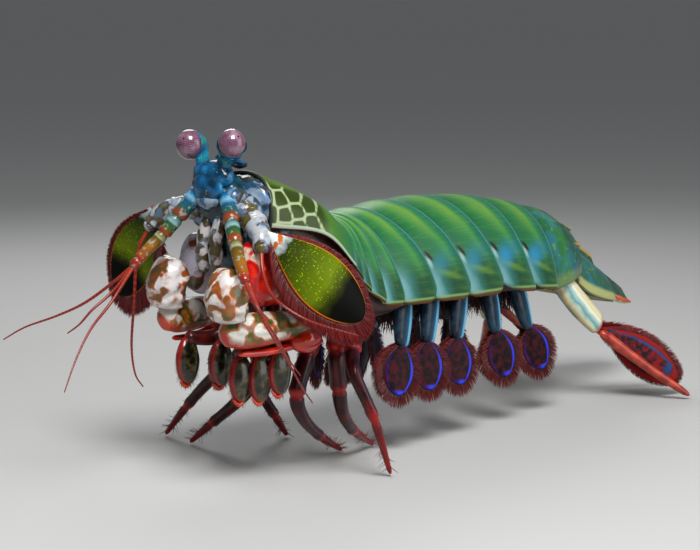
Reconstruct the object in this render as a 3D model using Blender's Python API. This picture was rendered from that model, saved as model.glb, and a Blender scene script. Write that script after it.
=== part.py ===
"""Peacock mantis shrimp, a still life-size model, standing alert with its claws folded.

The animal faces -X, its left side is -Y and the floor is Z = 0. Lengths below are millimetres,
turned to metres by at(). X is counted from the front of the first abdominal ring.
"""
import math
from collections import namedtuple

import bmesh
import bpy
from mathutils import Vector

MM = 0.001
GAP = 0.3
BOX_CENTRE_X = 13.664
BOX_CENTRE_Y = 1.354

# Armour plates: each slips under the lip of the plate before it
PLATE_THICK = 2.0
LIP_THICK = 0.7
LAP = 1.5
PLATE_STEPS = 14
ARCH_POWER = 2.3
CORE_DEPTH = PLATE_THICK + 2 * GAP

# A hoop is the edge between two rings of the body: its top and its foot, seen from the side.
# Bow carries the middle of its flank backwards
Hoop = namedtuple("Hoop", "top_x top_z half_width foot_x foot_z bow")
BROW = Hoop(-29.3, 53.6, 8.2, -31.5, 44.0, 0.0)
SADDLE = Hoop(-19.0, 49.0, 10.9, -20.5, 42.0, 0.0)
CARAPACE_REAR = Hoop(-10.4, 44.2, 12.2, -12.6, 35.4, -1.6)
CHEST = [
    ("thoracic_tergite_5", Hoop(-9.0, 44.0, 12.5, -10.8, 32.6, -1.7)),
    ("thoracic_tergite_6", Hoop(-7.7, 43.9, 12.6, -8.6, 30.4, -1.7)),
    ("thoracic_tergite_7", Hoop(-6.2, 44.0, 12.7, -4.4, 27.8, -0.8)),
    ("thoracic_tergite_8", Hoop(-4.5, 44.2, 12.8, 0.9, 27.4, -0.1)),
]
ABDOMEN = [
    ("abdomen_tergite_1", Hoop(1.4, 44.6, 12.9, 10.4, 27.0, 1.2)),
    ("abdomen_tergite_2", Hoop(11.0, 45.3, 13.0, 21.2, 26.5, 0.9)),
    ("abdomen_tergite_3", Hoop(22.2, 45.3, 13.1, 31.9, 26.3, 0.3)),
    ("abdomen_tergite_4", Hoop(35.4, 44.3, 12.9, 42.1, 25.5, -0.5)),
    ("abdomen_tergite_5", Hoop(47.8, 42.2, 12.3, 50.5, 24.7, -0.2)),
]
TAIL_RING_REAR = Hoop(62.0, 37.4, 10.0, 62.4, 26.8, 0.0)

SIDES = {"left": -1, "right": 1}


def at(x, y, z):
    """A place in the animal's own millimetres, as a point of the model in metres."""
    return Vector(((x - BOX_CENTRE_X) * MM, (y - BOX_CENTRE_Y) * MM, z * MM))


def clear_scene():
    for thing in list(bpy.data.objects):
        bpy.data.objects.remove(thing, do_unlink=True)


def new_collection(name):
    group = bpy.data.collections.new(name)
    bpy.context.scene.collection.children.link(group)
    return group


def finish(name, colour, roughness=0.4, metallic=0.0):
    """A Principled material with the part's colour, roughness and metallic value."""
    material = bpy.data.materials.new(name)
    material.use_nodes = True
    shader = material.node_tree.nodes["Principled BSDF"]
    shader.inputs["Base Color"].default_value = (*colour, 1.0)
    shader.inputs["Roughness"].default_value = roughness
    shader.inputs["Metallic"].default_value = metallic
    return material


def point_out(mesh):
    """Turn every face of a closed mesh outwards."""
    bmesh.ops.recalc_face_normals(mesh, faces=mesh.faces)
    if mesh.calc_volume(signed=True) < 0:
        bmesh.ops.reverse_faces(mesh, faces=mesh.faces)


def add_object(name, mesh, group):
    """Put a bmesh into the scene as a named object, at the origin."""
    point_out(mesh)
    data = bpy.data.meshes.new(name)
    mesh.to_mesh(data)
    mesh.free()
    thing = bpy.data.objects.new(name, data)
    group.objects.link(thing)
    return thing


def loft(rings):
    """A closed skin through closed rings of points, every quad split the same way."""
    mesh = bmesh.new()
    rows = [[mesh.verts.new(point) for point in ring] for ring in rings]
    count = len(rows[0])
    for row, following in zip(rows, rows[1:]):
        for i in range(count):
            j = (i + 1) % count
            mesh.faces.new((row[i], row[j], following[j]))
            mesh.faces.new((row[i], following[j], following[i]))
    for row in (rows[0], rows[-1]):
        middle = mesh.verts.new(sum((v.co for v in row), Vector()) / count)
        for i in range(count):
            mesh.faces.new((row[i], row[(i + 1) % count], middle))
    return mesh


def smooth_path(points, per_span):
    """Points along a Catmull-Rom curve. A point may hold any number of values."""
    size = len(points[0])
    ends = [tuple(2 * a - b for a, b in zip(points[0], points[1]))]
    ends += list(points)
    ends.append(tuple(2 * a - b for a, b in zip(points[-1], points[-2])))
    path = []
    for k in range(1, len(ends) - 2):
        p0, p1, p2, p3 = ends[k - 1:k + 3]
        for step in range(per_span):
            t = step / per_span
            path.append(tuple(
                0.5 * (2 * p1[i] + (p2[i] - p0[i]) * t
                       + (2 * p0[i] - 5 * p1[i] + 4 * p2[i] - p3[i]) * t * t
                       + (3 * p1[i] - p0[i] - 3 * p2[i] + p3[i]) * t ** 3)
                for i in range(size)))
    path.append(tuple(points[-1]))
    return path


def limb(route, sides=10, per_span=3, grow=0.0, flat=(0, 0, 1)):
    """A limb of oval section. Each stop of its route is x, y, z, half depth, half width.

    The half depth lies along the direction named by flat, as far as the route lets it."""
    stops = smooth_path(route, per_span)
    centres = [Vector(stop[:3]) for stop in stops]
    centres[0] += (centres[0] - centres[1]).normalized() * grow
    centres[-1] += (centres[-1] - centres[-2]).normalized() * grow
    rings = []
    for k, stop in enumerate(stops):
        along = (centres[min(k + 1, len(stops) - 1)] - centres[max(k - 1, 0)]).normalized()
        depth_way = Vector(flat) - Vector(flat).dot(along) * along
        depth_way.normalize()
        width_way = along.cross(depth_way)
        ring = []
        for i in range(sides):
            turn = math.tau * i / sides
            spot = (centres[k]
                    + depth_way * (stop[3] + grow) * math.cos(turn)
                    + width_way * (stop[4] + grow) * math.sin(turn))
            ring.append(at(*spot))
        rings.append(ring)
    return loft(rings)


def ball(centre, radii, segments=14, rings=8, lean=(0, 0, 1)):
    """A UV sphere with three half sizes, the last of them along lean."""
    mesh = bmesh.new()
    bmesh.ops.create_uvsphere(mesh, u_segments=segments, v_segments=rings, radius=1.0)
    bmesh.ops.scale(mesh, verts=mesh.verts, vec=[r * MM for r in radii])
    turn = Vector((0, 0, 1)).rotation_difference(Vector(lean)).to_matrix()
    bmesh.ops.rotate(mesh, verts=mesh.verts, cent=(0, 0, 0), matrix=turn)
    bmesh.ops.translate(mesh, verts=mesh.verts, vec=at(*centre))
    bmesh.ops.triangulate(mesh, faces=mesh.faces)
    return mesh


def rod(points, thick_start, thick_end, sides_level=1, per_span=3):
    """A round feeler or bristle: a bevelled curve that thins towards its tip, as a mesh."""
    path = smooth_path(points, per_span)
    curve = bpy.data.curves.new("rod", "CURVE")
    curve.dimensions = "3D"
    curve.bevel_depth = MM
    curve.bevel_resolution = sides_level
    curve.use_fill_caps = True
    line = curve.splines.new("POLY")
    line.points.add(len(path) - 1)
    for k, spot in enumerate(path):
        share = k / (len(path) - 1)
        line.points[k].co = (*at(*spot), 1.0)
        line.points[k].radius = 0.5 * (thick_start + (thick_end - thick_start) * share)
    thing = bpy.data.objects.new("rod", curve)
    bpy.context.scene.collection.objects.link(thing)
    bpy.context.view_layer.update()
    seen = thing.evaluated_get(bpy.context.evaluated_depsgraph_get())
    data = bpy.data.meshes.new_from_object(seen)
    mesh = bmesh.new()
    mesh.from_mesh(data)
    bmesh.ops.remove_doubles(mesh, verts=mesh.verts, dist=0.01 * MM)
    bmesh.ops.triangulate(mesh, faces=mesh.faces)
    bpy.data.objects.remove(thing, do_unlink=True)
    bpy.data.curves.remove(curve)
    bpy.data.meshes.remove(data)
    return mesh


def keep_largest(thing):
    """Keep only the largest closed surface of an object's mesh."""
    mesh = bmesh.new()
    mesh.from_mesh(thing.data)
    unseen = set(mesh.verts)
    shells = []
    while unseen:
        front = [unseen.pop()]
        shell = set(front)
        while front:
            for edge in front.pop().link_edges:
                for vert in edge.verts:
                    if vert in unseen:
                        unseen.discard(vert)
                        shell.add(vert)
                        front.append(vert)
        shells.append(shell)

    def reach(shell):
        spans = [[v.co[i] for v in shell] for i in range(3)]
        return math.prod(max(span) - min(span) for span in spans)

    shells.sort(key=reach, reverse=True)
    loose = [vert for shell in shells[1:] for vert in shell]
    bmesh.ops.delete(mesh, geom=loose, context="VERTS")
    mesh.to_mesh(thing.data)
    mesh.free()


def apply_boolean(thing, operation, group, solver):
    step = thing.modifiers.new("join", "BOOLEAN")
    step.operation = operation
    step.operand_type = "COLLECTION"
    step.collection = group
    step.solver = solver
    bpy.context.view_layer.update()
    seen = thing.evaluated_get(bpy.context.evaluated_depsgraph_get())
    data = bpy.data.meshes.new_from_object(seen)
    thing.modifiers.clear()
    old = thing.data
    thing.data = data
    bpy.data.meshes.remove(old)


def with_pieces(thing, meshes, operation, solver="EXACT"):
    """Fuse closed meshes to an object, or cut it clear of them, in one Boolean."""
    if not meshes:
        return thing
    group = bpy.data.collections.new("pieces")
    bpy.context.scene.collection.children.link(group)
    for mesh in meshes:
        add_object("piece", mesh, group)
    apply_boolean(thing, operation, group, solver)
    for piece in list(group.objects):
        bpy.data.objects.remove(piece, do_unlink=True)
    bpy.data.collections.remove(group)
    keep_largest(thing)
    return thing


def part(name, meshes, material, cut_by=(), solver="EXACT"):
    """One named sub-part: its first mesh, the others fused to it, then cut clear."""
    thing = add_object(name, meshes[0], MODEL)
    with_pieces(thing, meshes[1:], "UNION", solver)
    with_pieces(thing, list(cut_by), "DIFFERENCE", solver)
    thing.data.materials.clear()
    thing.data.materials.append(material)
    thing.data.name = name
    return thing


def rest_on_floor(thing):
    """Cut a foot level with the floor, as a small flat."""
    mesh = bmesh.new()
    mesh.from_mesh(thing.data)
    everything = list(mesh.verts) + list(mesh.edges) + list(mesh.faces)
    bmesh.ops.bisect_plane(mesh, geom=everything, dist=0.001 * MM, plane_co=(0, 0, 0),
                           plane_no=(0, 0, -1), clear_outer=True)
    rim = [edge for edge in mesh.edges if edge.is_boundary]
    bmesh.ops.holes_fill(mesh, edges=rim)
    bmesh.ops.triangulate(mesh, faces=mesh.faces)
    point_out(mesh)
    mesh.to_mesh(thing.data)
    mesh.free()


# Armour

def hoop_point(hoop, turn, depth):
    """A point of a hoop at a turn from its top, pushed out (or in) by depth."""
    rise = abs(math.cos(turn)) ** (2 / ARCH_POWER)
    out = abs(math.sin(turn)) ** (2 / ARCH_POWER)
    side = math.copysign(1.0, turn)
    up = Vector((hoop.top_x - hoop.foot_x, 0, hoop.top_z - hoop.foot_z))
    height = up.length
    up.normalize()
    foot = Vector((hoop.foot_x + 4 * hoop.bow * rise * (1 - rise), 0, hoop.foot_z))
    normal = (up * rise ** (ARCH_POWER - 1) / height
              + Vector((0, side, 0)) * out ** (ARCH_POWER - 1) / hoop.half_width)
    normal.normalize()
    return foot + up * height * rise + Vector((0, side * hoop.half_width * out, 0)) + normal * depth


def arch_turns(steps):
    return [math.radians(-90 + 180 * k / steps) for k in range(steps + 1)]


def along_hoops(hoops, turn, distance, depth):
    """The point that lies a distance behind the first hoop, on the line over the second."""
    start = hoop_point(hoops[0], turn, depth)
    end = hoop_point(hoops[1], turn, depth)
    return start + (end - start).normalized() * distance


def lap_at(hoops, turn):
    """How far a lip reaches over the next plate: less where the rings crowd together."""
    span = (hoop_point(hoops[-1], turn, 0) - hoop_point(hoops[-2], turn, 0)).length
    return min(LAP, 0.3 * span)


def plate(hoops, before=None, crown=0.0, steps=PLATE_STEPS):
    """An arched armour plate between hoops, tucked under the plate before it, if any."""
    rings = []
    for turn in arch_turns(steps):
        lap = lap_at(hoops, turn)
        rear = (hoops[-1], hoops[-2])
        if before:
            tuck = -lap_at(before, turn)
            front_way = (before[-1], before[-2])
            outer = [along_hoops(front_way, turn, -tuck, -LIP_THICK - GAP),
                     along_hoops(hoops, turn, 0.1, -LIP_THICK - GAP)]
            first_step = min(0.5, 0.25 * (hoop_point(hoops[1], turn, 0)
                                          - hoop_point(hoops[0], turn, 0)).length)
            outer.append(along_hoops(hoops, turn, first_step, -LIP_THICK))
            inner_front = along_hoops(front_way, turn, -tuck, -PLATE_THICK)
        else:
            outer = [hoop_point(hoops[0], turn, -0.6), along_hoops(hoops, turn, 0.6, 0)]
            inner_front = hoop_point(hoops[0], turn, -PLATE_THICK)
        middle = 0.5 * (hoop_point(hoops[0], turn, crown) + hoop_point(hoops[1], turn, crown))
        outer.append(middle)
        for hoop in hoops[1:-1]:
            outer.append(hoop_point(hoop, turn, crown))
        if len(hoops) > 2:
            outer.append(0.5 * (hoop_point(hoops[-2], turn, crown)
                                + hoop_point(hoops[-1], turn, crown)))
        outer.append(hoop_point(hoops[-1], turn, 0))
        inner = [hoop_point(hoops[-1], turn, -LIP_THICK),
                 along_hoops(rear, turn, lap + GAP, -LIP_THICK),
                 along_hoops(rear, turn, lap + GAP, -PLATE_THICK)]
        for hoop in reversed(hoops[1:-1]):
            inner.append(hoop_point(hoop, turn, -PLATE_THICK))
        inner.append(inner_front)
        rings.append([at(*spot) for spot in outer + inner])
    return loft(rings)


def core_ring(hoop, belly_z, reach_degrees, grow):
    """One ring of the flesh under the plates: the arch inside them and a flat belly."""
    reach = math.radians(reach_degrees)
    steps = 10
    ring = [hoop_point(hoop, -reach + 2 * reach * k / steps, grow - CORE_DEPTH)
            for k in range(steps + 1)]
    edge = ring[-1]
    for share in (0.9, 0.45, -0.45, -0.9):
        belly = belly_z - grow if abs(share) < 0.6 else 0.5 * (belly_z + edge.z) - grow
        slant = (hoop.top_x - hoop.foot_x) / (hoop.top_z - hoop.foot_z)
        ring.append(Vector((hoop.foot_x + slant * (belly - hoop.foot_z),
                            share * edge.y, belly)))
    return [at(*spot) for spot in ring]


def moved(hoop, shift):
    return hoop._replace(top_x=hoop.top_x + shift, foot_x=hoop.foot_x + shift)


CHEST_HOOPS = [BROW, SADDLE, CARAPACE_REAR] + [hoop for _, hoop in CHEST]
CHEST_BELLY = [36.5, 31.5, 27.5, 26.0, 25.0, 24.6, 24.6]
BELLY_HOOPS = [CHEST[-1][1]] + [hoop for _, hoop in ABDOMEN]
ABDOMEN_BELLY = [29.5, 30.5, 30.5, 30.2, 29.4, 28.6]


def chest_core(grow=0.0):
    hoops = [moved(CHEST_HOOPS[0], -grow)] + CHEST_HOOPS[1:-1]
    hoops.append(moved(CHEST_HOOPS[-1], grow))
    return loft([core_ring(hoop, belly, 90 if k < 3 else 78, grow)
                 for k, (hoop, belly) in enumerate(zip(hoops, CHEST_BELLY))])


def belly_core(grow=0.0):
    hoops = [moved(BELLY_HOOPS[0], GAP - grow)] + BELLY_HOOPS[1:-1]
    hoops.append(moved(BELLY_HOOPS[-1], grow - 3.6))
    return loft([core_ring(hoop, belly, 74, grow)
                 for hoop, belly in zip(hoops, ABDOMEN_BELLY)])


def tail_ring():
    """The sixth ring: a closed body, slipped under the fifth, with a flat underside."""
    fifth = ABDOMEN[-1][1]
    fourth = ABDOMEN[-2][1]
    rings = []
    for hoop, depth, shift in ((fifth, -LIP_THICK - GAP, -LAP), (fifth, -LIP_THICK - GAP, 0.1),
                               (fifth, -LIP_THICK, 0.6), (TAIL_RING_REAR, 0.6, -5.0),
                               (TAIL_RING_REAR, 0.0, 0.0)):
        ring = []
        for turn in arch_turns(12)[1:-1]:
            spot = hoop_point(hoop, turn, depth)
            if hoop is fifth:
                way = spot - hoop_point(fourth, turn, depth)
                spot = spot + way.normalized() * shift
            else:
                spot = spot + Vector((0.83, 0, -0.3)) * shift
            ring.append(at(*spot))
        low_left, low_right = ring[0], ring[-1]
        for share in (0.25, 0.75):
            floor = low_right.lerp(low_left, share)
            ring.append(floor + Vector((0, 0, 1.2 * MM)))
        rings.append(ring)
    return loft(rings)


# Thin leaves: antennal scales, the paddles of the swimming legs, the tail fan

def leaf(root, tip, wide_way, width, thick, fringe=(0, 0), points=24, belly=0.55, camber=0.0,
         waist=True):
    """A leaf-shaped blade and, past its rim, a fringe of tapered bristles.

    Root and tip are its ends and wide_way points to its first side. Fringe is how far the
    bristles reach on the first and the second side, belly says where along its length the
    blade is widest, camber how far its middle stands out, and waist adds a ring inside."""
    root = Vector(root)
    along = Vector(tip) - root
    length = along.length
    along.normalize()
    across = Vector(wide_way) - Vector(wide_way).dot(along) * along
    across.normalize()
    facing = along.cross(across)
    power = math.log(0.5) / math.log(belly)

    def rim(turn):
        share = 0.5 - 0.5 * math.cos(turn)
        side = math.sin(math.pi * max(share, 1e-6) ** power) ** 0.8
        return share, math.copysign(side, math.sin(turn))

    def spot(share, side, lift):
        bend = camber * (1 - side * side) * math.sin(math.pi * min(max(share, 0), 1))
        return (root + along * share * length + across * side * 0.5 * width
                + facing * (bend + lift))

    def bristle(k, share, side):
        reach = fringe[0] if side > 0 else fringe[1]
        reach *= (1.0 if k % 2 else 0.5) * min(1.0, share / 0.3)
        out = along * (share - 0.42) * length + across * side * 0.5 * width
        return (out.normalized() + 0.3 * along) * reach

    start = 0.30
    turns = [start + (math.tau - 2 * start) * k / (points - 1) for k in range(points)]
    outline = [rim(turn) for turn in turns]
    mesh = bmesh.new()
    faces = []
    for side_up in (1, -1):
        rows = []
        for scale, lift in ((0.5, 0.46), (1.0, 0.4)) if waist else ((1.0, 0.4),):
            row = [mesh.verts.new(at(*spot(0.5 + (share - 0.5) * scale, side * scale,
                                           side_up * lift * thick)))
                   for share, side in outline]
            rows.append(row)
        if max(fringe) > 0:
            row = [mesh.verts.new(at(*(spot(share, side, side_up * 0.14 * thick)
                                       + bristle(k, share, side))))
                   for k, (share, side) in enumerate(outline)]
            rows.append(row)
        hub = mesh.verts.new(at(*spot(0.5, 0.0, side_up * 0.5 * thick)))
        faces.append(rows)
        for i in range(points):
            j = (i + 1) % points
            mesh.faces.new((hub, rows[0][i], rows[0][j]))
            for inner, outer in zip(rows, rows[1:]):
                mesh.faces.new((inner[i], outer[i], outer[j]))
                mesh.faces.new((inner[i], outer[j], inner[j]))
    over, under = faces[0][-1], faces[1][-1]
    for i in range(points):
        j = (i + 1) % points
        mesh.faces.new((over[i], under[i], under[j]))
        mesh.faces.new((over[i], under[j], over[j]))
    return mesh


# Head: rounded lumps of the brow, the face and the mouth
HEAD_LUMPS = [((-34.4, 0, 48.6), (4.2, 5.0, 5.2)), ((-36.8, 0, 53.0), (2.2, 3.4, 2.3)),
              ((-32.6, 0, 42.2), (3.6, 4.2, 6.0))]


def head_lumps(grow=0.0):
    return [ball(centre, [r + grow for r in radii], 12, 7) for centre, radii in HEAD_LUMPS]


def rostral_plate(grow=0.0):
    """The small three-cornered plate over the eye stalks."""
    return leaf((-30.0, 0, 54.2), (-35.2 - grow, 0, 56.2), (0, 1, 0), 6.4 + 2 * grow,
                1.0 + 2 * grow, points=14, belly=0.4, waist=False)


EYES = {"left": (-37.6, -5.2, 58.7), "right": (-36.9, 5.4, 58.1)}
EYE_SIZE = (2.35, 2.35, 2.6)


def eye_ball(side, grow=0.0):
    return ball(EYES[side], [r + grow for r in EYE_SIZE], 16, 10)


def eye_stalk(side):
    sign = SIDES[side]
    eye = Vector(EYES[side])
    base = Vector((-37.0, sign * 1.9, 54.6))
    neck = base.lerp(eye, 0.32)
    cup = base.lerp(eye, 0.72)
    route = [(*base, 1.0, 1.1), (*neck, 0.95, 1.0), (*cup, 1.9, 1.9)]
    return limb(route, sides=10, per_span=2, flat=(1, 0, 0))


# Antennules: a jointed stalk with three feelers. Antennae: a stout base with one
ANTENNULE = {
    "left": [(-36.4, -2.8, 50.2), (-39.6, -7.0, 45.3), (-43.0, -11.2, 41.8), (-45.0, -14.2, 39.0),
             (-45.8, -15.9, 36.9)],
    "right": [(-37.0, 2.8, 50.6), (-40.8, 5.0, 45.6), (-43.4, 6.5, 42.4), (-45.3, 7.4, 40.6),
              (-47.6, 9.0, 37.5)],
}
ANTENNULE_SIZES = [1.5, 1.3, 1.1, 1.0, 0.85]
ANTENNULE_FEELERS = {
    "left": [
        [(-46.2, -17.6, 34.6), (-46.9, -20.0, 32.2), (-45.6, -21.4, 28.8), (-41.8, -21.2, 24.3),
         (-37.6, -20.6, 19.2), (-33.6, -19.6, 15.6)],
        [(-45.6, -17.6, 34.4), (-45.2, -19.0, 31.6), (-43.6, -20.2, 28.6), (-40.2, -19.8, 24.4),
         (-36.2, -19.2, 20.6)],
        [(-46.8, -17.8, 35.2), (-47.4, -19.8, 33.6), (-46.6, -21.6, 31.6)],
    ],
    "right": [
        [(-49.4, 12.0, 34.8), (-52.2, 16.0, 31.3), (-55.1, 20.0, 29.0), (-58.6, 24.0, 27.1),
         (-61.0, 27.0, 24.9)],
        [(-50.8, 10.4, 33.7), (-54.6, 11.4, 30.9), (-56.6, 12.4, 28.6), (-58.0, 14.0, 27.0)],
        [(-52.0, 9.4, 32.2), (-57.2, 9.0, 28.2), (-61.6, 8.0, 23.7), (-65.2, 7.0, 18.8)],
    ],
}
ANTENNA = {
    "left": [(-34.6, -4.2, 47.6), (-36.0, -8.4, 45.8), (-37.6, -11.6, 43.6), (-39.4, -13.4, 41.0)],
    "right": [(-34.6, 4.2, 47.8), (-36.2, 8.6, 46.8), (-37.2, 12.2, 45.6), (-38.8, 14.4, 42.8)],
}
ANTENNA_SIZES = [2.1, 2.1, 1.8, 1.0]
ANTENNA_FEELER = {
    "left": [(-40.2, -14.4, 38.4), (-41.8, -17.4, 35.3), (-42.2, -20.6, 33.4), (-40.8, -24.0, 31.4),
             (-37.6, -26.6, 29.8), (-32.5, -28.8, 28.0)],
    "right": [(-39.8, 15.6, 38.6), (-40.6, 15.8, 30.0), (-40.8, 16.4, 22.4), (-40.6, 15.8, 17.4),
              (-39.8, 14.6, 15.0)],
}
FEELER_TIP = 0.36


def stalk_of(points, sizes, grow=0.0):
    return limb([(*p, r, r) for p, r in zip(points, sizes)], sides=8, per_span=2,
                flat=(0.3, 1, 0.2), grow=grow)


def feelers_of(points, routes, thick):
    """Feelers that leave the end of a jointed stalk and thin towards their tips."""
    start = Vector(points[-2]).lerp(Vector(points[-1]), 0.8)
    return [rod([tuple(start)] + route, thick, FEELER_TIP, sides_level=0, per_span=2)
            for route in routes]


SCALE = {
    "left": ((-37.9, -12.5, 44.9), (-23.7, -22.2, 29.1), (0.62, -0.1, 0.8)),
    "right": ((-37.8, 13.4, 47.4), (-34.8, 25.6, 30.2), (-0.08, 0.85, 0.52)),
}
SCALE_WIDTH = 10.2
SCALE_FRINGE = (2.0, 3.2)
SCALE_CAMBER = 1.2


def antennal_scale(side):
    root, tip, way = SCALE[side]
    return leaf(root, tip, way, SCALE_WIDTH, 1.1, fringe=SCALE_FRINGE, points=30, belly=0.6,
                camber=SCALE_CAMBER)


# Raptorial claws, folded. Each stop is x, y, z, half height, half width
CLAW = {
    "left": {
        "merus": [(-19.5, -9.0, 33.4, 2.6, 2.4), (-27.0, -9.5, 35.4, 4.5, 3.0),
                  (-35.0, -9.7, 37.2, 5.6, 3.1), (-40.4, -9.5, 37.6, 4.3, 2.8)],
        "carpus": [(-41.8, -9.7, 37.4, 2.7, 2.8), (-44.2, -9.8, 34.8, 3.0, 3.1),
                   (-44.3, -9.9, 31.6, 2.6, 2.8)],
        "propodus": [(-45.4, -10.1, 28.7, 2.2, 2.2), (-41.0, -10.5, 27.8, 2.9, 2.6),
                     (-32.0, -11.4, 27.7, 2.6, 2.4), (-22.8, -12.4, 27.4, 1.9, 2.0)],
        "heel": (-27.4, -12.6, 24.9),
        "finger": [(-29.0, -12.2, 24.2), (-36.0, -11.2, 23.7), (-42.0, -10.4, 24.0)],
    },
    "right": {
        "merus": [(-15.5, 8.8, 32.2, 2.6, 2.4), (-22.0, 9.4, 34.2, 3.8, 2.9),
                  (-29.0, 9.6, 36.5, 5.3, 3.1), (-34.4, 9.4, 37.4, 4.4, 2.8)],
        "carpus": [(-35.8, 9.6, 37.2, 2.7, 2.8), (-38.2, 9.8, 34.6, 3.0, 3.1),
                   (-38.2, 10.0, 31.4, 2.6, 2.8)],
        "propodus": [(-39.3, 10.2, 28.5, 2.2, 2.2), (-35.0, 10.6, 27.6, 2.9, 2.6),
                     (-26.0, 11.5, 27.4, 2.6, 2.4), (-17.4, 12.4, 27.0, 1.9, 2.0)],
        "heel": (-22.4, 12.4, 24.6),
        "finger": [(-24.0, 12.1, 24.0), (-31.0, 11.2, 23.4), (-36.6, 10.5, 23.8)],
    },
}
HEEL_SIZE = (3.7, 2.2, 2.3)


def claw_limb(side, name, grow=0.0):
    flat = (1, 0, 0) if name == "carpus" else (0, 0, 1)
    return limb(CLAW[side][name], sides=9, per_span=2, grow=grow, flat=flat)


def dactyl(side):
    """The smasher: a swollen heel at the rear and a finger folded along the propodus."""
    heel = ball(CLAW[side]["heel"], HEEL_SIZE, 12, 8)
    return [heel, rod(CLAW[side]["finger"], 1.5, 0.9, sides_level=1, per_span=2)]


# Maxillipeds: a thin arm from the breast to a flat oval hand
HANDS = {
    "left": [("maxilliped_3", (-37.4, -6.6, 18.8)), ("maxilliped_4", (-34.2, -8.2, 18.6)),
             ("maxilliped_5", (-31.0, -9.8, 19.6))],
    "right": [("maxilliped_3", (-36.6, 6.8, 20.2)), ("maxilliped_4", (-33.6, 1.6, 20.0)),
              ("maxilliped_5", (-30.2, 5.2, 19.0))],
}
ARM_ROOTS = {"maxilliped_3": (-28.0, 2.4, 35.4), "maxilliped_4": (-25.0, 3.6, 34.0),
             "maxilliped_5": (-21.6, 5.0, 32.6)}
PALM_SIZE = (2.0, 0.85, 4.2)


def maxilliped(name, side, hand):
    root = Vector(ARM_ROOTS[name])
    root.y *= SIDES[side]
    hand = Vector(hand)
    wrist = hand + Vector((-0.4, 0, 4.0))
    knee = Vector((0.5 * (root.x + wrist.x) + 2.0, 0.6 * root.y + 0.4 * wrist.y, 25.0))
    arm = limb([(*root, 1.1, 1.1), (*knee, 0.95, 0.95), (*wrist, 0.9, 0.9)], sides=6,
               per_span=2, flat=(1, 0, 0.2))
    palm = ball(hand, PALM_SIZE, 10, 6)
    finger = rod([hand + Vector((1.2, 0, -3.2)), hand + Vector((-0.4, 0, -4.6)),
                  hand + Vector((-2.2, 0, -3.2))], 0.9, 0.6, sides_level=0, per_span=1)
    return [arm, palm, finger]


# Walking legs: the stops of each leg, the last of them a little below the floor
LEGS = {
    "left": [
        [(-17.5, -6.4, 28.4), (-21.8, -8.2, 21.4), (-25.4, -8.8, 14.6), (-23.2, -8.2, 10.0),
         (-15.0, -5.2, 4.8), (-6.4, -3.0, -0.6)],
        [(-13.0, -7.6, 27.6), (-17.2, -10.8, 21.6), (-16.9, -11.2, 14.6), (-14.6, -10.2, 9.6),
         (-9.0, -8.0, 5.2), (1.0, -4.4, -0.6)],
        [(-8.0, -8.6, 27.4), (-12.6, -12.0, 25.2), (-18.1, -15.4, 22.0), (-20.8, -18.2, 18.4),
         (-19.4, -21.2, 11.0), (-15.4, -21.8, -0.6)],
    ],
    "right": [
        [(-15.5, 6.8, 27.6), (-17.0, 10.0, 21.0), (-17.6, 14.4, 15.8), (-17.8, 19.6, 12.2),
         (-17.6, 25.6, 6.8), (-17.8, 31.4, -0.6)],
        [(-12.0, 7.4, 27.2), (-13.4, 7.6, 20.6), (-16.8, 8.8, 13.6), (-18.6, 12.4, 9.0),
         (-19.2, 17.6, 4.8), (-19.7, 23.0, -0.6)],
        [(-8.0, 8.4, 27.2), (-9.4, 12.6, 22.4), (-10.4, 14.4, 16.0), (-9.4, 14.6, 10.0),
         (-6.2, 13.8, 4.6), (-3.6, 13.0, -0.6)],
    ],
}
LEG_SIZES = [1.8, 1.4, 1.25, 1.05, 0.85, 0.62]
BRISTLES = 4


def walking_leg(stops):
    """A jointed leg with a whorl of stiff bristles above its foot."""
    leg = limb([(*p, r, r) for p, r in zip(stops, LEG_SIZES)], sides=7, per_span=2,
               flat=(1, 0.2, 0.1))
    shin, foot = Vector(stops[-2]), Vector(stops[-1])
    bristles = []
    for k in range(BRISTLES):
        turn = math.tau * (k + 0.5) / BRISTLES
        start = shin.lerp(foot, 0.35 + 0.08 * k)
        end = start + Vector((math.cos(turn), math.sin(turn), -0.6)) * 2.2
        end.z = max(end.z, 0.5)
        bristles.append(rod([start, end], 0.6, 0.3, sides_level=0, per_span=1))
    return [leg] + bristles


# Swimming legs: root, joint and tip of the outer paddle of each pair
PLEOPODS = [((4.6, 8.6, 28.6), (1.4, 10.8, 19.4), (-1.6, 12.0, 11.0)),
            ((13.0, 8.6, 28.8), (9.2, 10.8, 19.0), (8.0, 12.0, 10.6)),
            ((22.0, 8.6, 28.8), (18.2, 10.8, 18.6), (17.4, 12.0, 10.2)),
            ((31.0, 8.4, 28.4), (31.0, 10.8, 18.2), (32.6, 12.0, 9.6)),
            ((40.6, 8.0, 27.4), (42.6, 10.4, 17.4), (45.6, 11.6, 9.2))]
PADDLE_WAY = (0.9, -0.35, 0.1)
PADDLE_FRINGE = (1.7, 1.7)


def pleopod(index, side):
    sign = SIDES[side]
    root, joint, tip = (Vector((x, sign * y, z)) for x, y, z in PLEOPODS[index])
    way = Vector(PADDLE_WAY)
    way.y *= -sign
    stem = limb([(*root, 1.3, 2.3), (*root.lerp(joint, 0.5), 1.1, 2.6), (*joint, 0.8, 2.0)],
                sides=6, per_span=1, flat=(0.35, sign, 0.2))
    outer = leaf(joint + Vector((0, 0, 1.2)), tip, way, 6.6, 1.0, fringe=PADDLE_FRINGE,
                 points=14, waist=False)
    behind = Vector((1.8, -sign * 3.0, 0.6))
    inner = leaf(joint + Vector((0, -sign * 0.8, 1.4)), tip + behind, way, 6.0, 1.0,
                 fringe=PADDLE_FRINGE, points=10, waist=False)
    return [stem, outer, inner]


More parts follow.
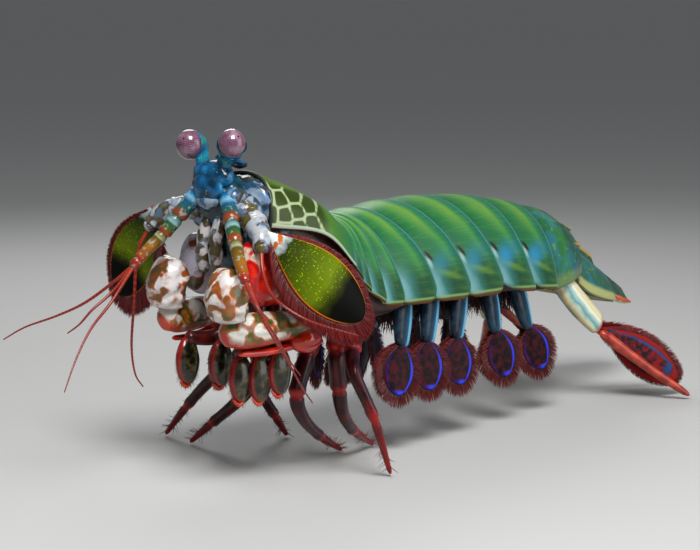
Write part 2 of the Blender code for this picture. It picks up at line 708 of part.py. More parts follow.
# Tail
# Stations along the telson: x, half width, height of its margin, height of its middle, keel
TELSON = [(62.8, 9.3, 24.8, 35.9, 0.2), (66.5, 9.4, 22.6, 33.4, 0.8), (72.0, 9.2, 20.8, 30.2, 1.7),
          (77.5, 8.3, 19.6, 27.2, 2.3), (80.2, 7.2, 19.0, 25.7, 2.4), (81.4, 6.6, 18.7, 25.0, 0.3),
          (86.0, 5.2, 17.6, 22.8, 0.2), (90.6, 3.6, 16.8, 20.0, 0.0), (92.4, 1.6, 16.6, 18.4, 0.0)]
TELSON_SIDES = (-1, -0.8, -0.55, -0.3, -0.1, 0, 0.1, 0.3, 0.55, 0.8, 1)
TELSON_TEETH = [((78.0, 6.8, 19.6), (82.4, 7.0, 18.4)), ((83.4, 4.9, 18.6), (88.0, 5.3, 17.2)),
                ((89.0, 2.4, 17.8), (92.6, 3.0, 16.3))]
TELSON_THICK = 1.6


def telson():
    """The tail plate: an arched shield with a tall keel along its middle."""
    rings = []
    for x, half, margin, middle, keel in TELSON:

        def spot(side, lift):
            arch = (middle - margin) * (1 - side * side)
            return at(x, side * half, margin + arch + lift)

        over = [spot(side, keel * (1.0 if side == 0 else 0.7 if abs(side) < 0.2 else 0.0))
                for side in TELSON_SIDES]
        under = [spot(side, -TELSON_THICK) for side in (0.75, 0, -0.75)]
        rings.append(over + under)
    return loft(rings)


def telson_teeth():
    return [rod([(x0, side * y0, z0), (x1, side * y1, z1)], 1.6, 0.4, sides_level=0, per_span=1)
            for (x0, y0, z0), (x1, y1, z1) in TELSON_TEETH for side in (-1, 1)]


def uropod(side):
    """One half of the tail fan: a stout stalk, a stiff outer bar, two paddles and a prong."""
    sign = SIDES[side]
    stem = limb([(55.4, sign * 8.4, 26.4, 2.0, 2.3), (59.4, sign * 11.0, 20.8, 1.9, 2.6),
                 (64.0, sign * 13.5, 15.2, 1.4, 2.2)], sides=8, per_span=2,
                flat=(0.3, sign, 0.3))
    bar = rod([(63.0, sign * 14.0, 14.8), (70.4, sign * 20.8, 7.2), (77.2, sign * 27.4, 0.3)],
              2.4, 1.4, sides_level=1, per_span=2)
    outer = leaf((63.6, sign * 13.2, 15.8), (78.8, sign * 23.0, 3.6), (0.55, sign * 0.2, 0.8),
                 8.0, 1.3, fringe=(1.8, 0.6), points=18, belly=0.6, waist=False)
    inner = leaf((64.0, sign * 11.6, 16.8), (83.6, sign * 16.0, 6.6), (0.3, sign * 0.8, 0.5),
                 6.2, 1.2, fringe=(1.8, 1.8), points=16, belly=0.6, waist=False)
    prong = rod([(62.6, sign * 10.9, 17.6), (69.0, sign * 10.9, 13.4),
                 (75.6, sign * 11.6, 10.4)], 2.2, 0.8, sides_level=0, per_span=2)
    return [stem, outer, bar, inner, prong]


def carapace_room():
    """The room under the carapace, grown by the gap, to cut what comes near it."""
    hoops = [moved(BROW, -GAP), SADDLE, CARAPACE_REAR]
    rings = []
    for hoop in hoops:
        lifted = hoop._replace(foot_z=hoop.foot_z - GAP)
        ring = [hoop_point(lifted, turn, 0.5 + GAP) for turn in arch_turns(PLATE_STEPS)]
        rings.append([at(*spot) for spot in ring])
    return loft(rings)


def tail_room():
    """The sixth ring, a little grown, to cut the tail fan clear of it."""
    mesh = tail_ring()
    middle = at(57, 0, 33)
    bmesh.ops.translate(mesh, verts=mesh.verts, vec=-middle)
    bmesh.ops.scale(mesh, verts=mesh.verts, vec=(1.06, 1.04, 1.08))
    bmesh.ops.translate(mesh, verts=mesh.verts, vec=middle)
    return mesh


def build_armour(green, flesh):
    hoops = [BROW, SADDLE, CARAPACE_REAR]
    part("carapace", [plate(hoops, crown=0.5)], green)
    before = hoops
    for name, hoop in CHEST + ABDOMEN:
        hoops = [before[-1], hoop]
        part(name, [plate(hoops, before)], green)
        before = hoops
    part("abdomen_tergite_6", [tail_ring()], green)
    part("telson", [telson()] + telson_teeth(), green, solver="MANIFOLD")
    part("rostral_plate", [rostral_plate()], green)
    part("thorax_underside", [chest_core()], flesh)
    part("abdomen_underside", [belly_core()], flesh)


def build_head(blue, lilac, feeler, olive):
    part("head", head_lumps(), blue, [chest_core(GAP), carapace_room(), rostral_plate(GAP)])
    for side in SIDES:
        part("eye_" + side, [eye_ball(side)], lilac)
        part("eye_stalk_" + side, [eye_stalk(side)], blue,
             [eye_ball(side, GAP)] + head_lumps(GAP))
        points, sizes = ANTENNULE[side], ANTENNULE_SIZES
        part("antennule_" + side,
             [stalk_of(points, sizes)] + feelers_of(points, ANTENNULE_FEELERS[side], 0.95),
             feeler, head_lumps(GAP))
        base = ANTENNA[side]
        part("antenna_" + side,
             [stalk_of(base, ANTENNA_SIZES)] + feelers_of(base, [ANTENNA_FEELER[side]], 1.1),
             feeler, head_lumps(GAP) + [stalk_of(points, sizes, GAP)])
        part("antennal_scale_" + side, [antennal_scale(side)], olive,
             [stalk_of(base, ANTENNA_SIZES, GAP)])


def build_claws(claw, heel):
    for side in SIDES:
        part("raptorial_merus_" + side, [claw_limb(side, "merus")], claw,
             [chest_core(GAP), carapace_room()])
        part("raptorial_carpus_" + side, [claw_limb(side, "carpus")], claw,
             [claw_limb(side, "merus", GAP)])
        part("raptorial_propodus_" + side, [claw_limb(side, "propodus")], claw,
             [claw_limb(side, "carpus", GAP), claw_limb(side, "merus", GAP)])
        part("raptorial_dactyl_" + side, dactyl(side), heel,
             [claw_limb(side, "propodus", GAP)])


def build_limbs(hand, maroon, paddle, fan):
    for side in SIDES:
        for name, place in HANDS[side]:
            part(name + "_" + side, maxilliped(name, side, place), hand, [chest_core(GAP)])
        for index, stops in enumerate(LEGS[side]):
            leg = part("walking_leg_%d_%s" % (index + 1, side), walking_leg(stops), maroon,
                       [chest_core(GAP)])
            rest_on_floor(leg)
        for index in range(len(PLEOPODS)):
            part("pleopod_%d_%s" % (index + 1, side), pleopod(index, side), paddle,
                 [belly_core(GAP)])
        fin = part("uropod_" + side, uropod(side), fan, [tail_room(), belly_core(GAP)])
        rest_on_floor(fin)


def build():
    green = finish("shell_green", (0.10, 0.33, 0.13), 0.35)
    flesh = finish("belly_flesh", (0.22, 0.10, 0.07), 0.5)
    build_armour(green, flesh)
    blue = finish("head_blue", (0.02, 0.20, 0.42), 0.35)
    lilac = finish("eye_lilac", (0.42, 0.27, 0.33), 0.15)
    feeler = finish("feeler_red", (0.42, 0.06, 0.02), 0.4)
    olive = finish("scale_olive", (0.22, 0.28, 0.02), 0.4)
    build_head(blue, lilac, feeler, olive)
    claw = finish("claw_mottled", (0.55, 0.50, 0.38), 0.3)
    heel = finish("claw_heel_red", (0.60, 0.07, 0.02), 0.15)
    build_claws(claw, heel)
    hand = finish("hand_dark", (0.14, 0.12, 0.03), 0.35)
    maroon = finish("leg_maroon", (0.16, 0.015, 0.01), 0.4)
    paddle = finish("paddle_dark", (0.07, 0.02, 0.05), 0.35)
    fan = finish("tail_fan_red", (0.38, 0.05, 0.02), 0.35)
    build_limbs(hand, maroon, paddle, fan)


clear_scene()
MODEL = new_collection("mantis_shrimp")
build()
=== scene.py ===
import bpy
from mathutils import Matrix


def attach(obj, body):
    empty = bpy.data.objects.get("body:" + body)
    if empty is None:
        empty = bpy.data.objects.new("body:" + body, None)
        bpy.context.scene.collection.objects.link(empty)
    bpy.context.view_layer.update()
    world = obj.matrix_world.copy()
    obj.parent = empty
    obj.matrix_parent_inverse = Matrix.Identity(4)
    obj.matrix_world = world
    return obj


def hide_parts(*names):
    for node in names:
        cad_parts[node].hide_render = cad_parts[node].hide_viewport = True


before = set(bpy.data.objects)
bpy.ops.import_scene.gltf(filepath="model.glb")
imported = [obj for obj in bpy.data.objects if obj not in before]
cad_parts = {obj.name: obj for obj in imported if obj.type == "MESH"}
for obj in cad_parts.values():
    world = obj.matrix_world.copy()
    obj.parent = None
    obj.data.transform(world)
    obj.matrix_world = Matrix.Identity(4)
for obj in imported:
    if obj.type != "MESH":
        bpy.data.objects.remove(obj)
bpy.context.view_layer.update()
print(len(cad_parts), "solids in the frame")

# %% [markdown]
# Every length below is in the animal's own millimetres. X is counted from the front of the
# first abdominal ring, the animal faces -X, its left side is -Y and the floor is Z = 0.
# One function turns such a place into the metres of the model.
# %% Millimetres of the animal
import math
import random
from collections import namedtuple

import bmesh
import bpy
from mathutils import Vector, noise

MM = 0.001
BOX_CENTRE = (13.664, 1.354, 0.0)
SIDES = {"left": -1, "right": 1}


def at(spot):
    """A place in the animal's millimetres as a point of the model, in metres."""
    return Vector([(value - centre) * MM for value, centre in zip(spot, BOX_CENTRE)])


print("the middle of the frame is", BOX_CENTRE, "mm from the animal's own origin")

# %% [markdown]
# Almost every piece of a crustacean is a bent tube, a bent plate or a flat blade. Each can be
# one grid: `create_grid` gives the faces, and a function moves every corner to its place.
# Where the grid closes on itself or runs into a pole, `remove_doubles` welds it. Each corner
# also keeps an attribute called flow, which tells the materials where it lies on the piece.
# Cylinders and planes, bent with modifiers, would do too. But a shell swells, tucks under and
# rolls at its lips all at once, and a function says that in a few lines.
# %% A grid moved into shape
PIECES = []
CROWDING = 0.09
WELD = 0.004
SLIVER = 0.001


def ease(share):
    """Crowds the rows of a grid near both of its ends."""
    return share - CROWDING * math.sin(math.tau * share)


def skin(name, rows, columns, place, wall=0.0):
    """A named object whose grid corners lie at place(u, v), with flow (u, v and a third value).

    Place gives a spot in millimetres and the flow triple. Wall adds a thickness inwards."""
    mesh = bmesh.new()
    bmesh.ops.create_grid(mesh, x_segments=rows, y_segments=columns, size=0.5)
    flow = mesh.verts.layers.float_vector.new("flow")
    for vert in mesh.verts:
        spot, mark = place(vert.co.x + 0.5, vert.co.y + 0.5)
        vert.co = at(spot)
        vert[flow] = mark
    return finish_piece(name, mesh, wall)


def finish_piece(name, mesh, wall=0.0):
    """Welds seams and poles, turns the faces outwards and makes the object."""
    bmesh.ops.remove_doubles(mesh, verts=mesh.verts, dist=WELD * MM)
    bmesh.ops.dissolve_degenerate(mesh, edges=mesh.edges, dist=SLIVER * MM)
    bmesh.ops.recalc_face_normals(mesh, faces=mesh.faces)
    data = bpy.data.meshes.new(name)
    mesh.to_mesh(data)
    mesh.free()
    data.shade_smooth()
    piece = bpy.data.objects.new(name, data)
    bpy.context.scene.collection.objects.link(piece)
    if wall:
        shell = piece.modifiers.new("wall", "SOLIDIFY")
        shell.thickness = wall * MM
        shell.offset = -1.0
        shell.use_even_offset = False
    PIECES.append(piece)
    return piece


def settle(piece, material, slot, *nodes):
    """Gives a piece its material, hangs it from the root and hides the solids that it stands for. Slot is
    not used.
    """
    piece.data.materials.append(material)
    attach(piece, "root")
    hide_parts(*nodes)
    return piece


print("a seam is welded within", WELD, "mm")

# %% [markdown]
# Limbs follow a smooth curve through a few stops. Each stop holds a place and the half depth
# and half width of the limb there. The curve is a Catmull-Rom one, which passes through all of
# its stops, so the numbers can be read off the animal. A curve object with a bevel would be
# round all along. These limbs are flat here and full there, so each stop has its own sizes.
# %% Curves and tubes
def along_route(stops, share):
    """The values of a smooth curve through the stops, at a share of its length."""
    place = min(max(share, 0.0), 1.0) * (len(stops) - 1)
    k = min(int(place), len(stops) - 2)
    t = place - k
    b, c = stops[k], stops[k + 1]
    a = stops[k - 1] if k else [2 * p - q for p, q in zip(b, c)]
    d = stops[k + 2] if k + 2 < len(stops) else [2 * q - p for p, q in zip(b, c)]
    return [0.5 * (2 * q + (r - p) * t + (2 * p - 5 * q + 4 * r - s) * t * t
                   + (3 * q - p - 3 * r + s) * t ** 3)
            for p, q, r, s in zip(a, b, c, d)]


def frames(stops, flat):
    """A function that gives centre, depth way, width way and sizes at a share of the route."""
    kept = {}

    def frame_at(share):
        if share not in kept:
            here = along_route(stops, share)
            ahead = (Vector(along_route(stops, share + 0.01)[:3])
                     - Vector(along_route(stops, share - 0.01)[:3])).normalized()
            deep = Vector(flat) - Vector(flat).dot(ahead) * ahead
            deep.normalize()
            kept[share] = (Vector(here[:3]), deep, ahead.cross(deep), here[3], here[4])
        return kept[share]

    return frame_at


def round_end(share, ends):
    """Draws a tube in to a rounded end over the first and the last share of it."""
    first, last = ends
    inwards = 1.0
    if first and share < first:
        inwards = math.sqrt(max(0.0, 1 - (1 - share / first) ** 2))
    if last and share > 1 - last:
        inwards = math.sqrt(max(0.0, 1 - ((share - 1 + last) / last) ** 2))
    return inwards


def tube(name, stops, flat=(0, 0, 1), rows=24, columns=20, ends=(0.12, 0.12), shape=None):
    """A limb along its stops. Shape(u, turn) scales it there, turn 0 being the depth way."""
    frame_at = frames(stops, flat)

    def place(u, v):
        share = ease(u)
        turn = math.tau * v
        centre, deep, wide, depth, width = frame_at(share)
        swell = round_end(share, ends) * (shape(share, turn) if shape else 1.0)
        spot = centre + deep * depth * swell * math.cos(turn) + wide * width * swell * math.sin(turn)
        return spot, (share, math.cos(turn), math.sin(turn))

    return skin(name, rows, columns, place)


print("halfway between two stops 2 mm apart:", along_route([(0, 0, 0), (2, 0, 0)], 0.5))

# %% [markdown]
# The camera stands where the photographer's did, in front of the animal's left side and close
# to the floor. Its place was worked out from the animal's own outline, with a long lens, so
# that near and far legs keep nearly the same size.
# %% Camera
CAMERA_TARGET = (-0.44, 0.0, 32.06)
CAMERA_AZIMUTH = -50.08
CAMERA_HEIGHT = 7.95
CAMERA_DISTANCE = 372.84
CAMERA_LENS = 103.35
CAMERA_SENSOR = 36.0

azimuth, height = math.radians(CAMERA_AZIMUTH), math.radians(CAMERA_HEIGHT)
camera_back = Vector((math.sin(azimuth) * math.cos(height),
                      -math.cos(azimuth) * math.cos(height),
                      math.sin(height)))
camera = bpy.data.objects.new("camera", bpy.data.cameras.new("camera"))
camera.data.lens = CAMERA_LENS
camera.data.sensor_width = CAMERA_SENSOR
camera.location = at(CAMERA_TARGET) + camera_back * CAMERA_DISTANCE * MM
camera.rotation_euler = camera_back.to_track_quat("Z", "Y").to_euler()
camera.data.clip_start = 0.01
bpy.context.scene.collection.objects.link(camera)
bpy.context.scene.camera = camera
print("camera stands", [round(value, 4) for value in camera.location])

# %% [markdown]
# Materials are built from nodes. One function adds a node, sets it and links it, and gives
# back its output, so a pattern reads like a sum. Colours are written as sRGB hex values.
# The museum's maker would cast the parts in resin, airbrush them and lacquer them. Lacquer has
# an IOR of about 1.5, which is Blender's own value, and no metal in it. Its roughness of 0.3 to
# 0.4 spreads the lamps into soft sheens, like wet shell. Glossier parts have a coat above it.
# %% A node, a colour and a painted finish
MATH = "ShaderNodeMath"
MIX = "ShaderNodeMix"
RAMP = "ShaderNodeValToRGB"


def linear(code):
    """An sRGB hex colour as linear red, green, blue and 1."""
    values = [int(code[k:k + 2], 16) / 255 for k in (1, 3, 5)]
    return [v / 12.92 if v <= 0.04045 else ((v + 0.055) / 1.055) ** 2.4 for v in values] + [1.0]


def add(tree, kind, feeds=None, out=0, stops=None, **settings):
    """Adds a node with its settings, its inputs (values or sockets) and any ramp stops."""
    step = tree.nodes.new(kind)
    for name, value in settings.items():
        setattr(step, name, value)
    for name, value in (feeds or {}).items():
        if isinstance(value, bpy.types.NodeSocket):
            tree.links.new(value, step.inputs[name])
        else:
            step.inputs[name].default_value = value
    if stops:
        elements = step.color_ramp.elements
        while len(elements) < len(stops):
            elements.new(0.5)
        for element, (place, colour) in zip(elements, stops):
            element.position = place
        for element, (place, colour) in zip(elements, stops):
            element.color = linear(colour) if isinstance(colour, str) else [colour] * 3 + [1.0]
    return step.outputs[out]


def new_finish(name, roughness=0.3, coat=0.12, coat_roughness=0.1, specular=0.4):
    """A Principled material of painted and lacquered resin, its tree and its shader."""
    material = bpy.data.materials.new(name)
    material.use_nodes = True
    shader = material.node_tree.nodes["Principled BSDF"]
    shader.inputs["Roughness"].default_value = roughness
    shader.inputs["Coat Weight"].default_value = coat
    shader.inputs["Coat Roughness"].default_value = coat_roughness
    shader.inputs["Specular IOR Level"].default_value = specular
    return material, material.node_tree, shader


def flow_of(tree):
    """The three values of the flow attribute."""
    vector = add(tree, "ShaderNodeAttribute", attribute_name="flow", out="Vector")
    step = add(tree, "ShaderNodeSeparateXYZ", {0: vector}).node
    return step.outputs[0], step.outputs[1], step.outputs[2]


def speckle(tree, size, detail=2.0, rough=0.5):
    """Noise whose blotches are about size millimetres across, on the object's own place."""
    place = add(tree, "ShaderNodeTexCoord", out="Object")
    return add(tree, "ShaderNodeTexNoise",
               {"Vector": place, "Scale": 1 / (size * MM), "Detail": detail, "Roughness": rough})


def dress(tree, shader, base, layers=(), grain=0.3, height=0.02):
    """Lays coats of colour over a base, each through its mask, and adds a fine grain."""
    paint = base
    for mask, colour in layers:
        tint = linear(colour) if isinstance(colour, str) else colour
        paint = add(tree, MIX, {0: mask, 6: paint, 7: tint}, out=2, data_type="RGBA")
    tree.links.new(paint, shader.inputs["Base Color"])
    bump = add(tree, "ShaderNodeBump", {"Strength": 0.5, "Distance": height * MM,
                                        "Height": speckle(tree, grain)})
    tree.links.new(bump, shader.inputs["Normal"])
    tree.links.new(bump, shader.inputs["Coat Normal"])


print("mid grey is", round(linear("#808080")[0], 3), "in linear light")

# %% [markdown]
# A painted edge on an animal is never ruled, and a mark is never quite round. Two helpers serve
# all the finishes below: a soft oval spot, and a noise that pushes an edge to and fro.
# %% Spots and drifting edges
def spot_mask(tree, along, across, centre, halves, turn=0.0, soft=0.25):
    """A soft oval: 1 inside, 0 outside, in the millimetres of along and across."""
    place = add(tree, "ShaderNodeCombineXYZ", {0: along, 1: across})
    place = add(tree, "ShaderNodeMapping",
                {"Vector": place, "Location": (*centre, 0), "Rotation": (0, 0, math.radians(turn)),
                 "Scale": (*halves, 1)}, vector_type="TEXTURE")
    reach = add(tree, "ShaderNodeVectorMath", {0: place}, out="Value", operation="LENGTH")
    return add(tree, "ShaderNodeMapRange", {0: reach, 1: 1 + soft, 2: 1 - soft, 3: 0.0, 4: 1.0},
               interpolation_type="SMOOTHSTEP")


def drifting(tree, value, amount, size):
    """The value pushed up and down by a soft noise, so that no painted edge is ruled."""
    sway = add(tree, MATH, {0: speckle(tree, size), 1: -0.5}, operation="ADD")
    return add(tree, MATH, {0: sway, 1: amount, 2: value}, operation="MULTIPLY_ADD")


def plain_paint(name, *colours, size=2.0, roughness=0.3, coat=0.15):
    """Paint that drifts between a few colours in soft blotches."""
    material, tree, shader = new_finish(name, roughness, coat)
    stops = [(0.36 + 0.28 * k / max(1, len(colours) - 1), colour) for k, colour in enumerate(colours)]
    dress(tree, shader, add(tree, RAMP, {0: speckle(tree, size)}, stops=stops))
    return material


print("finishes so far", len(bpy.data.materials))

# %% [markdown]
# The trunk is armoured with arched plates. An edge between two plates is a hoop: the top and
# the foot of an arch seen from the side. The arch is a superellipse, rounder than a tent and
# flatter than a pipe, as the back of this animal is. The plates could be sculpted one by one.
# With shared hoops each plate starts where the last one ends, and one number moves both.
# %% Hoops of the trunk
Hoop = namedtuple("Hoop", "top_x top_z half_width foot_x foot_z bow")
BROW = Hoop(-29.3, 53.6, 8.2, -31.5, 44.0, 0.0)
SADDLE = Hoop(-19.0, 49.0, 10.9, -20.5, 42.0, 0.0)
CARAPACE_REAR = Hoop(-10.4, 44.2, 12.2, -12.6, 35.4, -1.6)
CHEST = [
    ("thoracic_tergite_5", Hoop(-9.0, 44.0, 12.5, -10.8, 32.6, -1.7)),
    ("thoracic_tergite_6", Hoop(-7.7, 43.9, 12.6, -8.6, 30.4, -1.7)),
    ("thoracic_tergite_7", Hoop(-6.2, 44.0, 12.7, -4.4, 27.8, -0.8)),
    ("thoracic_tergite_8", Hoop(-4.5, 44.2, 12.8, 0.9, 27.4, -0.1)),
]
ABDOMEN = [
    ("abdomen_tergite_1", Hoop(1.4, 44.6, 12.9, 10.4, 27.0, 1.2)),
    ("abdomen_tergite_2", Hoop(11.0, 45.3, 13.0, 21.2, 26.5, 0.9)),
    ("abdomen_tergite_3", Hoop(22.2, 45.3, 13.1, 31.9, 26.3, 0.3)),
    ("abdomen_tergite_4", Hoop(35.4, 44.3, 12.9, 42.1, 25.5, -0.5)),
    ("abdomen_tergite_5", Hoop(47.8, 42.2, 12.3, 50.5, 24.7, -0.2)),
]
TAIL_RING_REAR = Hoop(62.0, 37.4, 10.0, 62.4, 26.8, 0.0)
ARCH_POWER = 2.3
LIP_STEP = 0.42
TUCK = 1.1
PLATE_WALL = 0.35
HALF_ARC = 30.0
SPAN_UNIT = 12.0


def hoop_point(hoop, turn, depth=0.0):
    """A point of a hoop at a turn from its top, pushed out by depth."""
    rise = abs(math.cos(turn)) ** (2 / ARCH_POWER)
    out = abs(math.sin(turn)) ** (2 / ARCH_POWER)
    side = math.copysign(1.0, turn)
    up = Vector((hoop.top_x - hoop.foot_x, 0, hoop.top_z - hoop.foot_z))
    tall = up.length
    up.normalize()
    foot = Vector((hoop.foot_x + 4 * hoop.bow * rise * (1 - rise), 0, hoop.foot_z))
    normal = (up * rise ** (ARCH_POWER - 1) / tall
              + Vector((0, side, 0)) * out ** (ARCH_POWER - 1) / hoop.half_width)
    normal.normalize()
    return foot + up * tall * rise + Vector((0, side * hoop.half_width * out, 0)) + normal * depth


def lip_drop(past, radius=0.3):
    """How far a rolled edge falls away, past millimetres before its end."""
    inside = min(max(past / radius, 0.0), 1.0)
    return -radius * (1 - math.sqrt(max(0.0, 1 - (1 - inside) ** 2)))


def shell_plate(name, front, rear, reach=None, crown=0.25, rows=30, columns=110):
    """A plate between two hoops, tucked under the one before it and rolled at its rear lip.

    Reach(u) is how far down the plate goes at u, 1 being the foot of the hoops."""
    def place(u, v):
        across = 2 * v - 1
        low = reach(u) if reach else 1.0
        turn = math.radians(90) * across * low
        span = (hoop_point(rear, turn) - hoop_point(front, turn)).length
        behind = -TUCK + (span + TUCK) * ease(u)
        share = behind / span
        seen = min(max(share, 0.0), 1.0)
        depth = -LIP_STEP * (1 - seen) ** 1.4 + crown * 4 * seen * (1 - seen)
        if behind < 0:
            depth -= 0.25 * min(1.0, -behind / 0.3)
        depth += lip_drop(span - behind)
        foot_gap = (1 - abs(across)) * low * HALF_ARC
        depth += lip_drop(foot_gap, 0.25)
        spot = hoop_point(front, turn, depth).lerp(hoop_point(rear, turn, depth), share)
        return spot, (share, turn / math.radians(90), span / SPAN_UNIT)

    return skin(name, rows, columns, place, PLATE_WALL)


print("rings of the trunk", len(CHEST) + len(ABDOMEN))

# %% [markdown]
# The shell is lacquered in bands that run round each plate: deep green at the front, a broad
# yellow-green belt, teal, a thread of light blue and a thin red-brown lip. The darkest green at the
# very front is painted shade, under the lip of the plate before. Ramps read how far a point lies
# along the plate, and how far down its side. Towards the foot the green turns deeper, partly the
# animal's own colour and partly painted shade on the lower side, which the light from above misses.
# The flank carries a pale blue wedge, and the plates of the tail half a dark oval spot with a blue
# patch behind it.
# The bands could be strips of their own material, but their edges are soft and drift, so one
# material with ramps suits them better.
# %% Shell paint
FLANK_ARC = 24.0
PLATE_LONG = 11.0


def shell_paint(name, blue=None):
    """Banded green lacquer. Blue says how strong a plate's flank patch is, where it has one."""
    material, tree, shader = new_finish(name, roughness=0.4, coat=0.04, coat_roughness=0.25, specular=0.25)
    along, across, span = flow_of(tree)
    low = add(tree, MATH, {0: across}, operation="ABSOLUTE")
    swayed = drifting(tree, along, 0.22, 7.0)
    # The first stop, the darkest green, is painted shade under the lip of the plate before.
    back = add(tree, RAMP, {0: swayed}, stops=[
        (0.0, "#163C20"), (0.07, "#1B5630"), (0.28, "#256A35"), (0.46, "#4C7E36"), (0.62, "#5A883A"),
        (0.74, "#2F7038"), (0.86, "#1A6248"), (1.0, "#1F6A58")])
    flank = add(tree, RAMP, {0: swayed}, stops=[
        (0.0, "#1E5E4A"), (0.12, "#1A5836"), (0.45, "#23653A"), (0.68, "#3A7A3E"), (0.82, "#20643F"),
        (0.93, "#18584A"), (1.0, "#347870")])
    # The foot ramp is darker than the back: partly the plate's own colour, partly painted shade on the lower
    # side.
    foot = add(tree, RAMP, {0: swayed}, stops=[
        (0.0, "#5C8A8E"), (0.18, "#34706C"), (0.30, "#1F5C50"), (0.5, "#124226"), (0.8, "#164A2A"),
        (1.0, "#2C6448")])
    wobble = drifting(tree, low, 0.1, 5.0)
    to_flank = add(tree, RAMP, {0: wobble}, stops=[(0.38, 0.0), (0.60, 1.0)])
    to_foot = add(tree, RAMP, {0: wobble}, stops=[(0.72, 0.0), (0.86, 1.0)])
    mixed = add(tree, MIX, {0: to_flank, 6: back, 7: flank}, out=2, data_type="RGBA")
    mixed = add(tree, MIX, {0: to_foot, 6: mixed, 7: foot}, out=2, data_type="RGBA")
    wedge = add(tree, MATH, {0: low, 1: 1.3, 2: -0.94}, operation="MULTIPLY_ADD")
    wedge = add(tree, MATH, {0: wedge, 1: along}, operation="SUBTRACT")
    wedge = add(tree, RAMP, {0: drifting(tree, wedge, 0.15, 2.5)}, stops=[(0.0, 0.0), (0.22, 0.6)])
    width = add(tree, MATH, {0: span, 1: SPAN_UNIT}, operation="MULTIPLY")
    left = add(tree, MATH, {0: 1.0, 1: along}, operation="SUBTRACT")
    edge = add(tree, MATH, {0: left, 1: width}, operation="MULTIPLY")
    edge = add(tree, MATH, {0: edge, 1: 0.5}, operation="MULTIPLY")
    thread = add(tree, RAMP, {0: edge}, stops=[(0.06, 0.0), (0.10, 1.0), (0.16, 1.0), (0.30, 0.0)])
    thread = add(tree, MATH, {0: thread, 1: 0.45}, operation="MULTIPLY")
    lip = add(tree, RAMP, {0: edge}, stops=[(0.05, 1.0), (0.10, 0.0)])
    streaks = add(tree, "ShaderNodeTexNoise", {
        "Vector": add(tree, "ShaderNodeCombineXYZ", {
            0: add(tree, MATH, {0: along, 1: 2.0}, operation="MULTIPLY"),
            1: add(tree, MATH, {0: across, 1: 60.0}, operation="MULTIPLY")}),
        "Scale": 1.0, "Detail": 2.0})
    streaks = add(tree, RAMP, {0: streaks}, stops=[(0.5, 0.0), (0.8, 0.16)])
    rim = add(tree, RAMP, {0: low}, stops=[(0.984, 0.0), (0.988, 1.0)])
    line = add(tree, RAMP, {0: low}, stops=[(0.968, 0.0), (0.975, 0.8), (0.982, 0.8), (0.985, 0.0)])
    layers = [(streaks, "#7EA24E"), (wedge, "#6E9EA4"), (thread, "#58A0A8"), (line, "#7E9E58"),
              (rim, "#6A4418"), (lip, "#2A140A")]
    if blue is not None:
        reach = add(tree, MATH, {0: along, 1: PLATE_LONG}, operation="MULTIPLY")
        down = add(tree, MATH, {0: low, 1: FLANK_ARC}, operation="MULTIPLY")
        for centre, halves, turn, soft, strength, colour in (
                ((6.2, 17.4), (3.0, 1.5), -10, 0.8, 0.55 * blue, "#1C6A94"),
                ((3.4, 18.8), (2.2, 1.3), -20, 0.8, 0.7 * blue, "#2A80B0"),
                ((5.2, 20.4), (3.0, 0.5), 12, 0.9, 0.45, "#6A9438"),
                ((0.8, 18.0), (0.5, 0.9), 0, 0.8, 0.55, "#A8C4C0"),
                ((1.5, 16.9), (0.5, 0.95), -25, 0.5, 0.95, "#1A0E08")):
            mask = spot_mask(tree, reach, down, centre, halves, turn, soft)
            layers.append((add(tree, MATH, {0: mask, 1: strength}, operation="MULTIPLY"), colour))
    dress(tree, shader, mixed, layers, grain=0.5, height=0.03)
    return material


SHELL_CHEST = shell_paint("green_lacquer_chest")
SHELL_PLAIN = shell_paint("green_lacquer_front")
SHELL_SPOTTED = [shell_paint("green_lacquer_spotted_%d" % k, strength)
                 for k, strength in enumerate((0.35, 0.5, 0.9, 1.0))]
print("shell finishes", 2 + len(SHELL_SPOTTED))

# %% [markdown]
# Nine loose rings, the tergites, overlap like roof tiles: each is tucked under the lip of the
# one before it, which lets the living animal curl up. Here each is a plate of its own, so the
# steps and shadows between them are real. Grooves in one long tube would look shallow.
# %% Tergites
def rounded_reach(u):
    """A plate whose two lower corners are rounded off."""
    return 1 - 0.04 * max(0.0, 1 - u / 0.3) ** 2 - 0.085 * max(0.0, (u - 0.62) / 0.38) ** 2


def pointed_reach(u):
    """A plate whose rear lower corner is drawn out to a point."""
    return 1 - 0.07 * max(0.0, 1 - u / 0.6) ** 1.5 - 0.01 * max(0.0, (u - 0.9) / 0.1) ** 2


before = CARAPACE_REAR
for index, (plate_name, plate_rear) in enumerate(CHEST + ABDOMEN):
    pointed = plate_name in ("abdomen_tergite_4", "abdomen_tergite_5")
    plate_reach = pointed_reach if pointed else rounded_reach
    plate = shell_plate("shell_" + plate_name, before, plate_rear, plate_reach)
    shell = SHELL_CHEST if index < 4 else SHELL_PLAIN if index == 4 else SHELL_SPOTTED[index - 5]
    settle(plate, shell, "shell_green", plate_name)
    before = plate_rear
print("tergites", len(PIECES))

# %% [markdown]
# The carapace covers the front of the chest like a saddle, narrow over the brow and wide
# behind. It is the same kind of plate with one more hoop in its middle.
# Its front corners carry olive islands in a white net. Each corner of the grid stores how much
# nearer its second island is than its first, which is nought along the net's threads. A cell
# texture would be simpler, but its cells would not lie where the animal's islands do.
# %% Carapace
ISLANDS = [(-30.4, 4.6, 51.4), (-30.6, 6.5, 49.2), (-31.0, 7.8, 46.6), (-28.0, 5.2, 51.3),
           (-28.2, 7.5, 48.8), (-28.2, 8.9, 46.2), (-28.6, 9.4, 43.6), (-25.2, 7.7, 49.2),
           (-25.6, 9.3, 46.6), (-25.8, 10.1, 44.0), (-22.7, 9.3, 47.2), (-23.0, 10.4, 44.6),
           (-20.2, 10.3, 45.4)]
NET_UNIT = 2.5
CARAPACE_SPAN = 24.0
CARAPACE_ARC = 20.0
CARAPACE_WALL = 0.5


